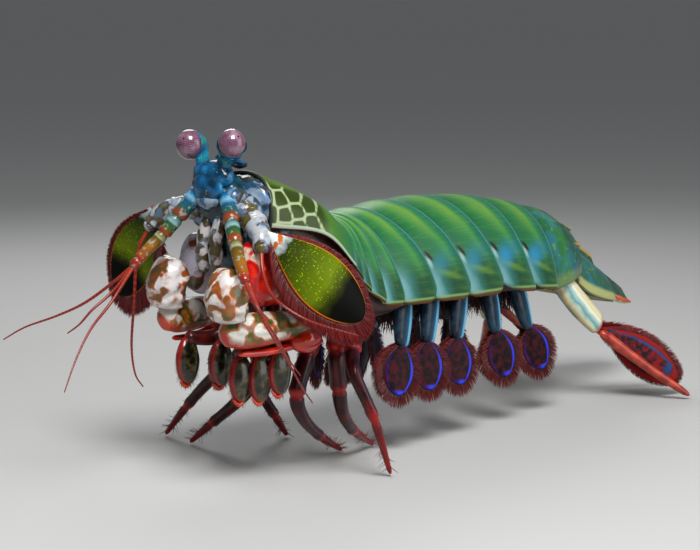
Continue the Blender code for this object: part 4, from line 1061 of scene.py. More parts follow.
def scale_paint():
    """Olive lacquer that turns black to the tip, set with rows of tiny yellow-green dots."""
    material, tree, shader = new_finish("olive_lacquered_scale",
                                        roughness=0.42, coat=0.0, coat_roughness=0.15, specular=0.06)
    share, side, _ = flow_of(tree)
    out = add(tree, MATH, {0: side}, operation="ABSOLUTE")
    base = add(tree, RAMP, {0: drifting(tree, share, 0.12, 3.0)}, stops=[
        (0.08, "#1E2A08"), (0.24, "#2E3A08"), (0.42, "#4A5A08"), (0.60, "#5E7008"), (0.70, "#2A3004"),
        (0.76, "#050602"), (1.0, "#030402")])
    rows = add(tree, "ShaderNodeCombineXYZ", {
        0: add(tree, MATH, {0: share, 1: 15.0}, operation="MULTIPLY"),
        1: add(tree, MATH, {0: side, 1: 7.5}, operation="MULTIPLY")})
    dots = add(tree, "ShaderNodeTexVoronoi", {"Vector": rows, "Scale": 2.3, "Randomness": 0.6},
               out="Distance")
    dots = add(tree, RAMP, {0: dots}, stops=[(0.16, 0.9), (0.30, 0.0)])
    reach = add(tree, RAMP, {0: share}, stops=[(0.14, 0.0), (0.3, 1.0), (0.64, 1.0), (0.72, 0.0)])
    dots = add(tree, MATH, {0: dots, 1: reach}, operation="MULTIPLY")
    dots = add(tree, MATH, {0: dots, 1: add(tree, RAMP, {0: speckle(tree, 0.8)},
                                           stops=[(0.40, 0.1), (0.6, 1.0)])}, operation="MULTIPLY")
    lines = add(tree, "ShaderNodeTexWave", {
        "Vector": add(tree, "ShaderNodeCombineXYZ", {0: side}), "Scale": 3.2, "Distortion": 0.6},
        bands_direction="X")
    lines = add(tree, MATH, {0: lines, 1: add(tree, RAMP, {0: share}, stops=[(0.12, 0.0), (0.2, 0.6),
                                                                          (0.5, 0.0)])},
                operation="MULTIPLY")
    root = add(tree, RAMP, {0: drifting(tree, share, 0.08, 1.5)}, stops=[(0.15, 1.0), (0.21, 0.0)])
    rust = add(tree, RAMP, {0: speckle(tree, 1.3)}, stops=[(0.54, 0.0), (0.6, 1.0)])
    rust = add(tree, MATH, {0: rust, 1: root}, operation="MULTIPLY")
    rim = add(tree, RAMP, {0: out}, stops=[(0.925, 0.0), (0.94, 1.0)])
    gold = add(tree, RAMP, {0: out}, stops=[(0.925, 0.0), (0.94, 1.0), (0.955, 1.0), (0.97, 0.0)])
    dress(tree, shader, base, [(lines, "#141804"), (dots, "#A8C818"), (root, "#C8D8DC"), (rust, "#B05A18"),
                               (rim, "#7A1A08"), (gold, "#D07818")], grain=0.3, height=0.03)
    return material


SCALE_OLIVE = scale_paint()
for side, (root, tip, way) in SCALE.items():
    flag = blade("scale_" + side, root, tip, way, SCALE_WIDTH, SCALE_THICK, SCALE_BELLY, SCALE_CAMBER,
                 rows=50, columns=96)
    settle(flag, SCALE_OLIVE, "scale_olive", "antennal_scale_" + side)
    hairs = rim_fringe("scale_fringe_" + side, root, tip, way, SCALE_WIDTH, SCALE_THICK, SCALE_REACHES,
                       SCALE_BRISTLES, SCALE_CAMBER, SCALE_BELLY, bristle_width=0.26, seed=3)
    settle(hairs, FRINGE_RED, "scale_olive", "antennal_scale_" + side)
print("bristles round both scales", 2 * SCALE_BRISTLES)

# %% [markdown]
# Antennules and antennae: jointed stalks that end in thin whips. Each route is a few places
# read off the animal, from its root to its tip. The whips are tubes that thin evenly, because
# hair objects would not be kept as a mesh.
# %% Routes of the feelers
ANTENNULE = {
    "left": [(-36.4, -2.8, 50.2), (-39.6, -7.0, 45.3), (-43.0, -11.2, 41.8), (-45.0, -14.2, 39.0),
             (-45.8, -15.9, 36.9)],
    "right": [(-37.0, 2.8, 50.6), (-40.8, 5.0, 45.6), (-43.4, 6.5, 42.4), (-45.3, 7.4, 40.6),
              (-47.6, 9.0, 37.5)],
}
ANTENNULE_SIZES = [1.5, 1.3, 1.1, 1.0, 0.85]
ANTENNULE_FEELERS = {
    "left": [
        [(-46.2, -17.6, 34.6), (-46.9, -20.0, 32.2), (-45.6, -21.4, 28.8), (-41.8, -21.2, 24.3),
         (-37.6, -20.6, 19.2), (-33.6, -19.6, 15.6)],
        [(-45.6, -17.6, 34.4), (-45.2, -19.0, 31.6), (-43.6, -20.2, 28.6), (-40.2, -19.8, 24.4),
         (-36.2, -19.2, 20.6)],
        [(-46.8, -17.8, 35.2), (-47.4, -19.8, 33.6), (-46.6, -21.6, 31.6)],
    ],
    "right": [
        [(-49.4, 12.0, 34.8), (-52.2, 16.0, 31.3), (-55.1, 20.0, 29.0), (-58.6, 24.0, 27.1),
         (-61.0, 27.0, 24.9)],
        [(-50.8, 10.4, 33.7), (-54.6, 11.4, 30.9), (-56.6, 12.4, 28.6), (-58.0, 14.0, 27.0)],
        [(-52.0, 9.4, 32.2), (-57.2, 9.0, 28.2), (-61.6, 8.0, 23.7), (-65.2, 7.0, 18.8)],
    ],
}
ANTENNA = {
    "left": [(-34.6, -4.2, 47.6), (-36.0, -8.4, 45.8), (-37.6, -11.6, 43.6), (-39.4, -13.4, 41.0)],
    "right": [(-34.6, 4.2, 47.8), (-36.2, 8.6, 46.8), (-37.2, 12.2, 45.6), (-38.8, 14.4, 42.8)],
}
ANTENNA_SIZES = [2.1, 2.1, 1.8, 1.0]
ANTENNA_FEELER = {
    "left": [(-40.2, -14.4, 38.4), (-41.8, -17.4, 35.3), (-42.2, -20.6, 33.4), (-40.8, -24.0, 31.4),
             (-37.6, -26.6, 29.8), (-32.5, -28.8, 28.0)],
    "right": [(-39.8, 15.6, 38.6), (-40.6, 15.8, 30.0), (-40.8, 16.4, 22.4), (-40.6, 15.8, 17.4),
              (-39.8, 14.6, 15.0)],
}
FEELER_TIP = 0.11
FEELER_FLAT = (0.3, 1, 0.2)
STALK_JOINTS = (0.20, 0.40, 0.86)
print("whips", sum(len(whips) for whips in ANTENNULE_FEELERS.values()) + len(ANTENNA_FEELER))

# %% [markdown]
# The stalks change colour from segment to segment: blue, teal, olive and amber, with pale rings
# and rust-coloured joints. The whips are dark red, with a paler ring at each of their many
# joints. Those are one or two tenths of a millimetre apart on the animal, and drawn 0.5 to
# 0.9 mm apart here, so that they show.
# %% Feeler finishes
def stalk_paint():
    """Blue, then olive, then amber segments with pale rings, joined by orange rings."""
    material, tree, shader = new_finish("banded_antennule_stalk",
                                        roughness=0.24, coat=0.3, coat_roughness=0.1)
    along, _, _ = flow_of(tree)
    base = add(tree, RAMP, {0: drifting(tree, along, 0.02, 1.0)}, stops=[
        (0.0, "#0A4A7A"), (0.05, "#0C5A88"), (0.08, "#6AA4C0"), (0.11, "#0A4A6A"), (0.16, "#14504A"),
        (0.19, "#6A3214"), (0.22, "#8A4016"), (0.24, "#144A40"), (0.29, "#7FA4A8"), (0.31, "#1E4A28"),
        (0.37, "#3A5418"), (0.39, "#7E3010"), (0.42, "#8A3A10"), (0.44, "#50500F"), (0.50, "#98946A"),
        (0.52, "#504208"), (0.68, "#8A5C0C"), (0.84, "#8A4A0C"), (0.87, "#A02C0C"), (1.0, "#7A1406")])
    clouds = add(tree, RAMP, {0: speckle(tree, 0.8, 2.0)}, stops=[(0.58, 0.0), (0.66, 0.5)])
    dress(tree, shader, base, [(clouds, "#9AB0A8")], grain=0.3, height=0.05)
    return material


def whip_paint():
    """Dark red with close paler rings, one to each of the feeler's many joints."""
    material, tree, shader = new_finish("dark_red_ringed_feeler", roughness=0.35, coat=0.2)
    along, _, _ = flow_of(tree)
    rings = add(tree, MATH, {0: along, 1: 260.0}, operation="MULTIPLY")
    rings = add(tree, RAMP, {0: add(tree, MATH, {0: rings}, operation="SINE")},
                stops=[(0.2, 0.0), (0.9, 0.6)])
    base = add(tree, RAMP, {0: along}, stops=[(0.0, "#A03010"), (0.2, "#7A120A"), (1.0, "#6A100A")])
    dress(tree, shader, base, [(rings, "#A83A20")], grain=0.2, height=0.02)
    return material


FEELER_RED = whip_paint()
STALK_PAINT = stalk_paint()
ANTENNA_WHITE = mottled_paint("white_blue_antenna_root", "#A4A8AC", "#4A3A34", "#565024", 2.1, 0.53,
                              "#4A7AA8", 0.55)
print("feeler finishes", [paint.name for paint in (FEELER_RED, STALK_PAINT, ANTENNA_WHITE)])

# %% [markdown]
# The stalks and whips themselves. A stalk swells at each joint and has a groove behind it.
# %% Feelers
def jointed(share, turn):
    """Each joint of a stalk swells a little and is cut by a groove behind it."""
    swell = 1.0
    for joint in STALK_JOINTS:
        swell += 0.11 * math.exp(-((share - joint) / 0.025) ** 2)
        swell -= 0.22 * math.exp(-((share - joint - 0.035) / 0.012) ** 2)
    return swell


def whip(name, points, thick):
    """A feeler that thins evenly to its tip."""
    last = len(points) - 1
    stops = [(*p, *[thick + (FEELER_TIP - thick) * k / last] * 2) for k, p in enumerate(points)]
    return tube(name, stops, FEELER_FLAT, rows=60, columns=10, ends=(0.01, 0.01))


for side in SIDES:
    points = ANTENNULE[side]
    stops = [(*p, r, r) for p, r in zip(points, ANTENNULE_SIZES)]
    stalk = tube("antennule_stalk_" + side, stops, FEELER_FLAT, rows=120, columns=24,
                 ends=(0.05, 0.05), shape=jointed)
    settle(stalk, STALK_PAINT, "feeler_red", "antennule_" + side)
    start = Vector(points[-2]).lerp(Vector(points[-1]), 0.8)
    for k, route in enumerate(ANTENNULE_FEELERS[side]):
        feeler = whip("antennule_whip_%d_%s" % (k + 1, side), [tuple(start)] + route, 0.34)
        settle(feeler, FEELER_RED, "feeler_red", "antennule_" + side)
    base = ANTENNA[side]
    stops = [(*p, r, r) for p, r in zip(base, ANTENNA_SIZES)]
    stalk = tube("antenna_stalk_" + side, stops, FEELER_FLAT, rows=80, columns=28,
                 ends=(0.08, 0.08), shape=jointed)
    settle(stalk, ANTENNA_WHITE, "feeler_red", "antenna_" + side)
    start = Vector(base[-2]).lerp(Vector(base[-1]), 0.8)
    feeler = whip("antenna_whip_" + side, [tuple(start)] + ANTENNA_FEELER[side], 0.38)
    settle(feeler, FEELER_RED, "feeler_red", "antenna_" + side)
print("pieces so far", len(PIECES))

# %% [markdown]
# The raptorial claws lie folded: an upper arm, a wrist, a forearm and the swollen heel that
# the animal strikes with. Each segment is a fat tube with its own depth and width at each stop.
# Real claws have keels, grooves and knobs. A shape function adds them to the round tube.
# %% Segments of the claws
CLAW = {
    "left": {
        "merus": [(-19.5, -9.0, 33.4, 2.6, 2.4), (-27.0, -9.5, 35.4, 4.5, 3.0),
                  (-35.0, -9.7, 37.2, 5.6, 3.1), (-40.4, -9.5, 37.6, 4.3, 2.8)],
        "carpus": [(-41.4, -9.7, 37.6, 2.9, 3.1), (-44.0, -9.9, 34.8, 3.5, 3.9),
                   (-44.3, -10.1, 31.4, 3.1, 3.6), (-44.6, -10.2, 29.4, 2.4, 2.8)],
        "propodus": [(-45.4, -10.1, 28.7, 2.2, 2.2), (-41.0, -10.5, 27.8, 2.9, 2.6),
                     (-32.0, -11.4, 27.7, 2.6, 2.4), (-22.8, -12.4, 27.4, 1.9, 2.0)],
        "heel": (-27.4, -12.6, 24.9),
        "finger": [(-29.0, -12.2, 24.2), (-36.0, -11.2, 23.7), (-42.0, -10.4, 24.0)],
    },
    "right": {
        "merus": [(-15.5, 8.8, 32.2, 2.6, 2.4), (-22.0, 9.4, 34.2, 3.8, 2.9),
                  (-29.0, 9.6, 36.5, 5.3, 3.1), (-34.4, 9.4, 37.4, 4.4, 2.8)],
        "carpus": [(-35.6, 9.6, 37.4, 2.9, 3.1), (-38.2, 9.9, 34.6, 3.4, 3.8),
                   (-38.4, 10.1, 31.2, 3.0, 3.4), (-38.6, 10.2, 29.2, 2.3, 2.7)],
        "propodus": [(-39.3, 10.2, 28.5, 2.2, 2.2), (-35.0, 10.6, 27.6, 2.9, 2.6),
                     (-26.0, 11.5, 27.4, 2.6, 2.4), (-17.4, 12.4, 27.0, 1.9, 2.0)],
        "heel": (-22.4, 12.4, 24.6),
        "finger": [(-24.0, 12.1, 24.0), (-31.0, 11.2, 23.4), (-36.6, 10.5, 23.8)],
    },
}
HEEL_SIZE = (3.7, 2.2, 2.3)
FINGER_SIZES = (0.75, 0.65, 0.45)
print("segments of a claw", len(CLAW["left"]))

# %% [markdown]
# The claws are the brightest painted parts: white ground with olive islands and rust edges on
# the forearms and wrists, red and white on the near upper arm. The heel is polished like a red
# bead, so it carries one hard white highlight.
# %% Claw finishes
CLAW_PAINTS = {
    "merus_left": mottled_paint("red_white_upper_arm", "#C8BCA8", "#D82010", "#B00A04", 3.0, 0.44,
                                "#5A1008", 0.3),
    "merus_right": mottled_paint("lilac_white_upper_arm", "#D8D4E4", "#8A3A14", "#4A4A28", 3.6, 0.58,
                                 "#9A8A90", 0.3),
    "carpus_left": mottled_paint("white_rust_wrist", "#D2CEC8", "#98440E", "#5C5424", 2.4, 0.52,
                                 "#B0683A", 0.5),
    "carpus_right": mottled_paint("white_orange_wrist", "#D8D4D2", "#98440E", "#5A4A22", 2.4, 0.52,
                                  "#A8602E", 0.5),
    "propodus_left": mottled_paint("olive_white_forearm", "#CED0C6", "#A4501A", "#3E5018", 2.9, 0.51,
                                   "#B8A88A", 0.2, "#B02008"),
    "propodus_right": mottled_paint("olive_island_forearm", "#D2D0CA", "#A45A20", "#3E501A", 2.5, 0.52,
                                    "#B09A78", 0.2, "#C03A10"),
}
HEEL_PAINT = plain_paint("glossy_red_heel", "#A80C04", "#D03008", size=3, roughness=0.14, coat=0.5)
print("claw finishes", len(CLAW_PAINTS) + 1)

# %% [markdown]
# Now the segments are made and painted. The wrist gets knobs from a noise that runs round it.
# %% Claws
def arm_shape(share, turn):
    """Flat flanks, a keel above, a shallow groove along each side and low swellings."""
    groove = 0.06 * math.exp(-((abs(math.cos(turn)) - 0.25) / 0.12) ** 2)
    swell = 0.06 * noise.noise(Vector((5 * share, math.cos(turn), math.sin(turn))) * 1.6)
    return 1 + 0.05 * math.cos(2 * turn) - groove + swell


def wrist_shape(share, turn):
    """Knobs round the wrist."""
    knobs = noise.noise(Vector((4 * share, 1.6 * math.cos(turn), 1.6 * math.sin(turn))) * 1.3)
    return 1 + 0.20 * knobs - 0.05 * math.exp(-((share - 0.55) / 0.05) ** 2)


for side in SIDES:
    for name in ("merus", "carpus", "propodus"):
        flat = (1, 0, 0) if name == "carpus" else (0, 0, 1)
        shape = wrist_shape if name == "carpus" else arm_shape
        limb = tube("claw_%s_%s" % (name, side), CLAW[side][name], flat, rows=48, columns=48,
                    ends=(0.15, 0.15), shape=shape)
        part = "%s_%s" % (name, side)
        settle(limb, CLAW_PAINTS[part], "claw_mottled", "raptorial_" + part)
    heel = lump("claw_heel_" + side, CLAW[side]["heel"], HEEL_SIZE)
    settle(heel, HEEL_PAINT, "claw_heel_red", "raptorial_dactyl_" + side)
    stops = [(*p, r, r) for p, r in zip(CLAW[side]["finger"], FINGER_SIZES)]
    finger = tube("claw_finger_" + side, stops, rows=24, columns=16)
    settle(finger, HEEL_PAINT, "claw_heel_red", "raptorial_dactyl_" + side)
print("claw heels", [round(2 * value, 1) for value in HEEL_SIZE], "mm")

# %% [markdown]
# Behind the claws hang the maxillipeds: arms that end in oval hands, with which the animal
# cleans itself and holds its food. The hands are dark olive with a red rim, and short bristles
# and a hooked finger below. Each is a lump, and its finger a short bent tube.
# %% Maxillipeds
HANDS = {
    "left": [("maxilliped_3", (-37.4, -6.6, 18.8)), ("maxilliped_4", (-34.2, -8.2, 18.6)),
             ("maxilliped_5", (-31.0, -9.8, 19.6))],
    "right": [("maxilliped_3", (-36.6, 6.8, 20.2)), ("maxilliped_4", (-33.6, 1.6, 20.0)),
              ("maxilliped_5", (-30.2, 5.2, 19.0))],
}
ARM_ROOTS = {"maxilliped_3": (-28.0, 2.4, 35.4), "maxilliped_4": (-25.0, 3.6, 34.0),
             "maxilliped_5": (-21.6, 5.0, 32.6)}
PALM_SIZE = (2.5, 1.6, 4.2)
PALM_BRISTLES = 90
FINGER_HOOK = ((1.2, 0, -3.2), (-0.4, 0, -4.5), (-2.0, 0, -3.4))
HOOK_SIZES = (0.4, 0.38, 0.15)
FINGER_RED = plain_paint("orange_red_finger", "#A82408", "#C84A18", size=1.5)


def hand_paint():
    """Dark olive ovals with a translucent red rim."""
    material, tree, shader = new_finish("dark_olive_hand", roughness=0.25, coat=0.3, coat_roughness=0.1)
    _, side, _ = flow_of(tree)
    base = add(tree, RAMP, {0: speckle(tree, 1.4, 2.0)}, stops=[
        (0.4, "#0E0A06"), (0.55, "#2A2A10"), (0.7, "#5A4A30")])
    flat = add(tree, MATH, {0: side}, operation="ABSOLUTE")
    rim = add(tree, RAMP, {0: flat}, stops=[(0.28, 1.0), (0.5, 0.0)])
    dress(tree, shader, base, [(rim, "#8A1208")], grain=0.4, height=0.05)
    return material


HAND_PAINT = hand_paint()
ARM_PAINT = plain_paint("dark_red_arm", "#2A0806", "#5A100A", size=2)


def palm_hairs(name, hand, seed):
    """Short red bristles along the lower rim of a hand."""
    def bristle(where, draw):
        turn = math.pi * (0.1 + 1.6 * where)
        way = Vector((math.cos(turn), draw.uniform(-0.2, 0.2), -abs(math.sin(turn)) * 0.9)).normalized()
        edge = Vector((math.cos(turn) * PALM_SIZE[0], 0, -math.sin(turn) * PALM_SIZE[2]))
        spot = Vector(hand) + edge * 0.93
        return spot, way, Vector((0, 0, -0.3)), draw.uniform(0.7, 1.2), 0.14, (0.05 + 0.9 * where, 0.5)

    return fringe(name, PALM_BRISTLES, bristle, seed)


for side in SIDES:
    for name, hand in HANDS[side]:
        root = Vector(ARM_ROOTS[name])
        root.y *= SIDES[side]
        wrist = Vector(hand) + Vector((-0.4, 0, 4.0))
        knee = Vector((0.5 * (root.x + wrist.x) + 2.0, 0.6 * root.y + 0.4 * wrist.y, 25.0))
        stops = [(*root, 1.6, 1.6), (*knee, 1.5, 1.5), (*wrist, 1.2, 1.2)]
        arm = tube("%s_arm_%s" % (name, side), stops, flat=(1, 0, 0.2), rows=30, columns=14,
                   ends=(0.03, 0.05))
        settle(arm, ARM_PAINT, "hand_dark", name + "_" + side)
        palm = lump("%s_palm_%s" % (name, side), hand, PALM_SIZE)
        settle(palm, HAND_PAINT, "hand_dark", name + "_" + side)
        hairs = palm_hairs("%s_hairs_%s" % (name, side), hand, len(PIECES))
        settle(hairs, FRINGE_RED, "hand_dark", name + "_" + side)
        hook = [Vector(hand) + Vector(step) for step in FINGER_HOOK]
        stops = [(*p, r, r) for p, r in zip(hook, HOOK_SIZES)]
        finger = tube("%s_finger_%s" % (name, side), stops, flat=(0, 1, 0), rows=16, columns=12)
        settle(finger, FINGER_RED, "hand_dark", name + "_" + side)
print("hands", sum(len(hands) for hands in HANDS.values()))

# %% [markdown]
# Three pairs of walking legs carry the trunk. They are dark maroon, bright red at the joints
# and bristly below. A tube swells before each joint and narrows behind it, and a whorl of
# bristles marks each foot. Straight segments joined by balls would be easier, but would look
# like a toy's.
# %% Walking legs
LEGS = {
    "left": [
        [(-17.5, -6.4, 28.4), (-21.8, -8.2, 21.4), (-25.4, -8.8, 14.6), (-23.2, -8.2, 10.0),
         (-15.0, -5.2, 4.8), (-6.4, -3.0, 0.4)],
        [(-13.0, -7.6, 27.6), (-17.2, -10.8, 21.6), (-16.9, -11.2, 14.6), (-14.6, -10.2, 9.6),
         (-9.0, -8.0, 5.2), (1.0, -4.4, 0.4)],
        [(-8.0, -8.6, 27.4), (-12.6, -12.0, 25.2), (-18.1, -15.4, 22.0), (-20.8, -18.2, 18.4),
         (-19.4, -21.2, 11.0), (-15.4, -21.8, 0.4)],
    ],
    "right": [
        [(-15.5, 6.8, 27.6), (-17.0, 10.0, 21.0), (-17.6, 14.4, 15.8), (-17.8, 19.6, 12.2),
         (-17.6, 25.6, 6.8), (-17.8, 31.4, 0.4)],
        [(-12.0, 7.4, 27.2), (-13.4, 7.6, 20.6), (-16.8, 8.8, 13.6), (-18.6, 12.4, 9.0),
         (-19.2, 17.6, 4.8), (-19.7, 23.0, 0.4)],
        [(-8.0, 8.4, 27.2), (-9.4, 12.6, 22.4), (-10.4, 14.4, 16.0), (-9.4, 14.6, 10.0),
         (-6.2, 13.8, 4.6), (-3.6, 13.0, 0.4)],
    ],
}
LEG_SIZES = [1.9, 1.6, 1.4, 1.15, 0.9, 0.4]
LEG_JOINTS = (0.2, 0.4, 0.8)
LEG_BRISTLES = 130


def leg_paint():
    """Dark maroon with a painted plum sheen on its flanks, bright red at the joints and the foot."""
    material, tree, shader = new_finish("maroon_lacquered_leg",
                                        roughness=0.3, coat=0.1, coat_roughness=0.1, specular=0.25)
    along, _, side = flow_of(tree)
    base = add(tree, RAMP, {0: speckle(tree, 2.0, 2.0)}, stops=[
        (0.36, "#1C0304"), (0.52, "#360607"), (0.68, "#540A0A")])
    joints = add(tree, RAMP, {0: along}, stops=[
        (0.17, 0.0), (0.20, 0.7), (0.23, 0.0), (0.37, 0.0), (0.40, 0.9), (0.44, 0.0), (0.76, 0.0),
        (0.80, 0.9), (0.84, 0.2), (1.0, 0.8)])
    # Painted sheen: both flanks are tinted plum, wherever the light falls.
    flank = add(tree, MATH, {0: side}, operation="ABSOLUTE")
    sheen = add(tree, RAMP, {0: flank}, stops=[(0.7, 0.0), (1.0, 0.35)])
    dress(tree, shader, base, [(sheen, "#2E1838"), (joints, "#9A1008")], grain=0.4, height=0.05)
    return material


LEG_PAINT = leg_paint()


def leg_shape(share, turn):
    """A leg swells before each joint and narrows behind it."""
    swell = 1.0
    for joint in LEG_JOINTS:
        swell += 0.14 * math.exp(-((share - joint + 0.02) / 0.02) ** 2)
        swell -= 0.18 * math.exp(-((share - joint - 0.015) / 0.012) ** 2)
    return swell


def leg_hairs(name, stops, seed):
    """Bristles round the shin and a whorl of longer ones above the foot."""
    def bristle(where, draw):
        share = 0.55 + 0.43 * where
        spot = Vector(along_route(stops, share)[:3])
        ahead = (Vector(along_route(stops, share + 0.02)[:3])
                 - Vector(along_route(stops, share - 0.02)[:3])).normalized()
        turn = draw.uniform(0, math.tau)
        out = ahead.orthogonal().normalized()
        out = (out * math.cos(turn) + ahead.cross(out) * math.sin(turn)).normalized()
        length = draw.uniform(0.8, 1.5) if share < 0.9 else draw.uniform(1.4, 2.2)
        way = (out + ahead * 0.5).normalized()
        if (spot + way * length).z < 0.3:
            way.z = abs(way.z) * 0.3
            way.normalize()
        return spot + out * 0.3, way, ahead * 0.1, length, 0.13, (0.05 + 0.9 * where, 0.5)

    return fringe(name, LEG_BRISTLES, bristle, seed)


for side in SIDES:
    for index, stops in enumerate(LEGS[side]):
        route = [(*p, r, r) for p, r in zip(stops, LEG_SIZES)]
        leg = tube("leg_%d_%s" % (index + 1, side), route, flat=(1, 0.2, 0.1), rows=110, columns=20,
                   ends=(0.03, 0.02), shape=leg_shape)
        hairs = leg_hairs("leg_hairs_%d_%s" % (index + 1, side), stops, index + 7)
        settle(hairs, FRINGE_RED, "leg_maroon", "walking_leg_%d_%s" % (index + 1, side))
        settle(leg, LEG_PAINT, "leg_maroon", "walking_leg_%d_%s" % (index + 1, side))
print("walking legs", sum(len(legs) for legs in LEGS.values()))

# %% [markdown]
# Five pairs of swimming legs hang under the abdomen. Each has a flat stem and two paddles with
# a fringe, and feathery gills at its root. The paddles are nearly black, with an electric blue
# arc that shows where their rear rim is. Their lacquer has little shine, to stay that dark.
# %% Finishes of the swimming legs
PLEOPODS = [((4.6, 8.6, 28.6), (1.4, 10.8, 19.4), (-1.6, 12.0, 11.0)),
            ((13.0, 8.6, 28.8), (9.2, 10.8, 19.0), (8.0, 12.0, 10.6)),
            ((22.0, 8.6, 28.8), (18.2, 10.8, 18.6), (17.4, 12.0, 10.2)),
            ((31.0, 8.4, 28.4), (31.0, 10.8, 18.2), (32.6, 12.0, 9.6)),
            ((40.6, 8.0, 27.4), (42.6, 10.4, 17.4), (45.6, 11.6, 9.2))]
PADDLE_WAY = (0.9, -0.35, 0.1)
PADDLE_HAIRS = fringe_paint("translucent_red_bristles", "#400A0C", "#62100E", "#842018")


def paddle_paint(name, middle, band, outer, inside=0.70):
    """Nearly black in the middle, with a bright band just inside a maroon rim."""
    material, tree, shader = new_finish(name, roughness=0.35, coat=0.0, coat_roughness=0.1, specular=0.1)
    share, side, _ = flow_of(tree)
    out = add(tree, MATH, {0: side}, operation="ABSOLUTE")
    ends = add(tree, MATH, {0: share, 1: -0.5}, operation="ADD")
    ends = add(tree, MATH, {0: ends}, operation="ABSOLUTE")
    ends = add(tree, MATH, {0: ends, 1: 1.75}, operation="MULTIPLY")
    reach = add(tree, MATH, {0: out, 1: ends}, operation="MAXIMUM")
    base = add(tree, RAMP, {0: speckle(tree, 1.2, 2.0)}, stops=[(0.4, middle), (0.66, outer)])
    rim = add(tree, RAMP, {0: reach}, stops=[(inside + 0.14, 0.0), (inside + 0.2, 1.0)])
    glow = add(tree, RAMP, {0: reach}, stops=[
        (inside - 0.02, 0.0), (inside + 0.06, 1.0), (inside + 0.12, 1.0), (inside + 0.18, 0.0)])
    low = add(tree, RAMP, {0: share}, stops=[(0.1, 0.25), (0.45, 1.0)])
    glow = add(tree, MATH, {0: glow, 1: low}, operation="MULTIPLY")
    rear = add(tree, MATH, {0: side, 1: 0.5, 2: 0.5}, operation="MULTIPLY_ADD")
    rear = add(tree, RAMP, {0: rear}, stops=[(0.30, 0.12), (0.60, 1.0)])
    glow = add(tree, MATH, {0: glow, 1: rear}, operation="MULTIPLY")
    dress(tree, shader, base, [(rim, outer), (glow, band)], grain=0.3, height=0.03)
    return material


def stem_paint():
    """Dark maroon to teal, with a bright light blue edge down its rear side."""
    material, tree, shader = new_finish("teal_paddle_stem",
                                        roughness=0.3, coat=0.05, coat_roughness=0.1, specular=0.2)
    along, _, side = flow_of(tree)
    base = add(tree, RAMP, {0: speckle(tree, 1.5, 2.0)}, stops=[(0.4, "#14060C"), (0.6, "#182C38")])
    rear = add(tree, MATH, {0: side, 1: -0.5, 2: 0.5}, operation="MULTIPLY_ADD")
    edge = add(tree, RAMP, {0: rear}, stops=[(0.44, 0.0), (0.54, 1.0)])
    fade = add(tree, RAMP, {0: along}, stops=[(0.0, 0.2), (0.3, 1.0), (0.95, 1.0), (1.0, 0.2)])
    edge = add(tree, MATH, {0: edge, 1: fade}, operation="MULTIPLY")
    wide = add(tree, RAMP, {0: rear}, stops=[(0.2, 0.1), (0.45, 0.8)])
    dress(tree, shader, base, [(wide, "#16506E"), (edge, "#6AB4DC")], grain=0.3, height=0.04)
    return material


PADDLE_PAINT = paddle_paint("maroon_blue_paddle", "#0A0408", "#2438C8", "#3A0A14")
GILL_RED = fringe_paint("dark_maroon_gills", "#1E0606", "#3C0A0A", "#561410")
STEM_PAINT = stem_paint()
print("swimming leg finishes", [paint.name for paint in (PADDLE_PAINT, STEM_PAINT, GILL_RED)])

# %% [markdown]
# Each stem is a flattened tube, and each paddle a blade with its own fringe, so the five pairs
# differ only in the three places that each is led through. The inner paddle
# is a little smaller and lies behind the outer one.
# %% Swimming legs
GILLS = 260
PADDLE_THICK = 0.8
PADDLE_REACHES = (2.1, 2.1)
PADDLE_BRISTLES = 420


def gill_tuft(name, root, inwards, seed):
    """Feathery gills that hang between the roots of the swimming legs."""
    def bristle(where, draw):
        spot = root + Vector((draw.uniform(-4.0, 4.0), inwards * draw.uniform(0.5, 5.0),
                              draw.uniform(-1.5, 0.6)))
        way = Vector((draw.uniform(-0.35, 0.35), draw.uniform(-0.25, 0.25), -1.0)).normalized()
        bend = Vector((draw.uniform(-0.3, 0.3), draw.uniform(-0.2, 0.2), 0.1))
        return spot, way, bend, draw.uniform(3.5, 8.0), 0.34, (0.02 + 0.94 * where, 0.5)

    return fringe(name, GILLS, bristle, seed)


for side, sign in SIDES.items():
    for index, stations in enumerate(PLEOPODS):
        node = "pleopod_%d_%s" % (index + 1, side)
        root, joint, tip = (Vector((x, sign * y, z)) for x, y, z in stations)
        way = (PADDLE_WAY[0], -sign * PADDLE_WAY[1], PADDLE_WAY[2])
        stops = [(*root, 1.6, 2.4), (*root.lerp(joint, 0.5), 1.5, 2.9), (*joint, 1.0, 2.2)]
        stem = tube("paddle_stem_%d_%s" % (index + 1, side), stops, flat=(-0.35 * sign, -1, -0.2 * sign),
                    rows=24, columns=20)
        settle(stem, STEM_PAINT, "paddle_dark", node)
        gills = gill_tuft("paddle_gills_%d_%s" % (index + 1, side), root, -sign, index + 31)
        settle(gills, GILL_RED, "paddle_dark", node)
        behind = Vector((1.8, -sign * 3.0, 0.6))
        for which, start, end, width in (
                ("outer", joint + Vector((0, 0, 1.2)), tip, 6.6),
                ("inner", joint + Vector((0, -sign * 0.8, 1.4)), tip + behind, 6.0)):
            label = "%s_%d_%s" % (which, index + 1, side)
            paddle = blade("paddle_" + label, start, end, way, width, PADDLE_THICK, rows=26, columns=36)
            settle(paddle, PADDLE_PAINT, "paddle_dark", node)
            hairs = rim_fringe("paddle_hairs_" + label, start, end, way, width, PADDLE_THICK, PADDLE_REACHES,
                               PADDLE_BRISTLES, bristle_width=0.19, seed=index + 11)
            settle(hairs, PADDLE_HAIRS, "paddle_dark", node)
print("swimming legs", 2 * len(PLEOPODS), "with", 4 * len(PLEOPODS), "paddles")

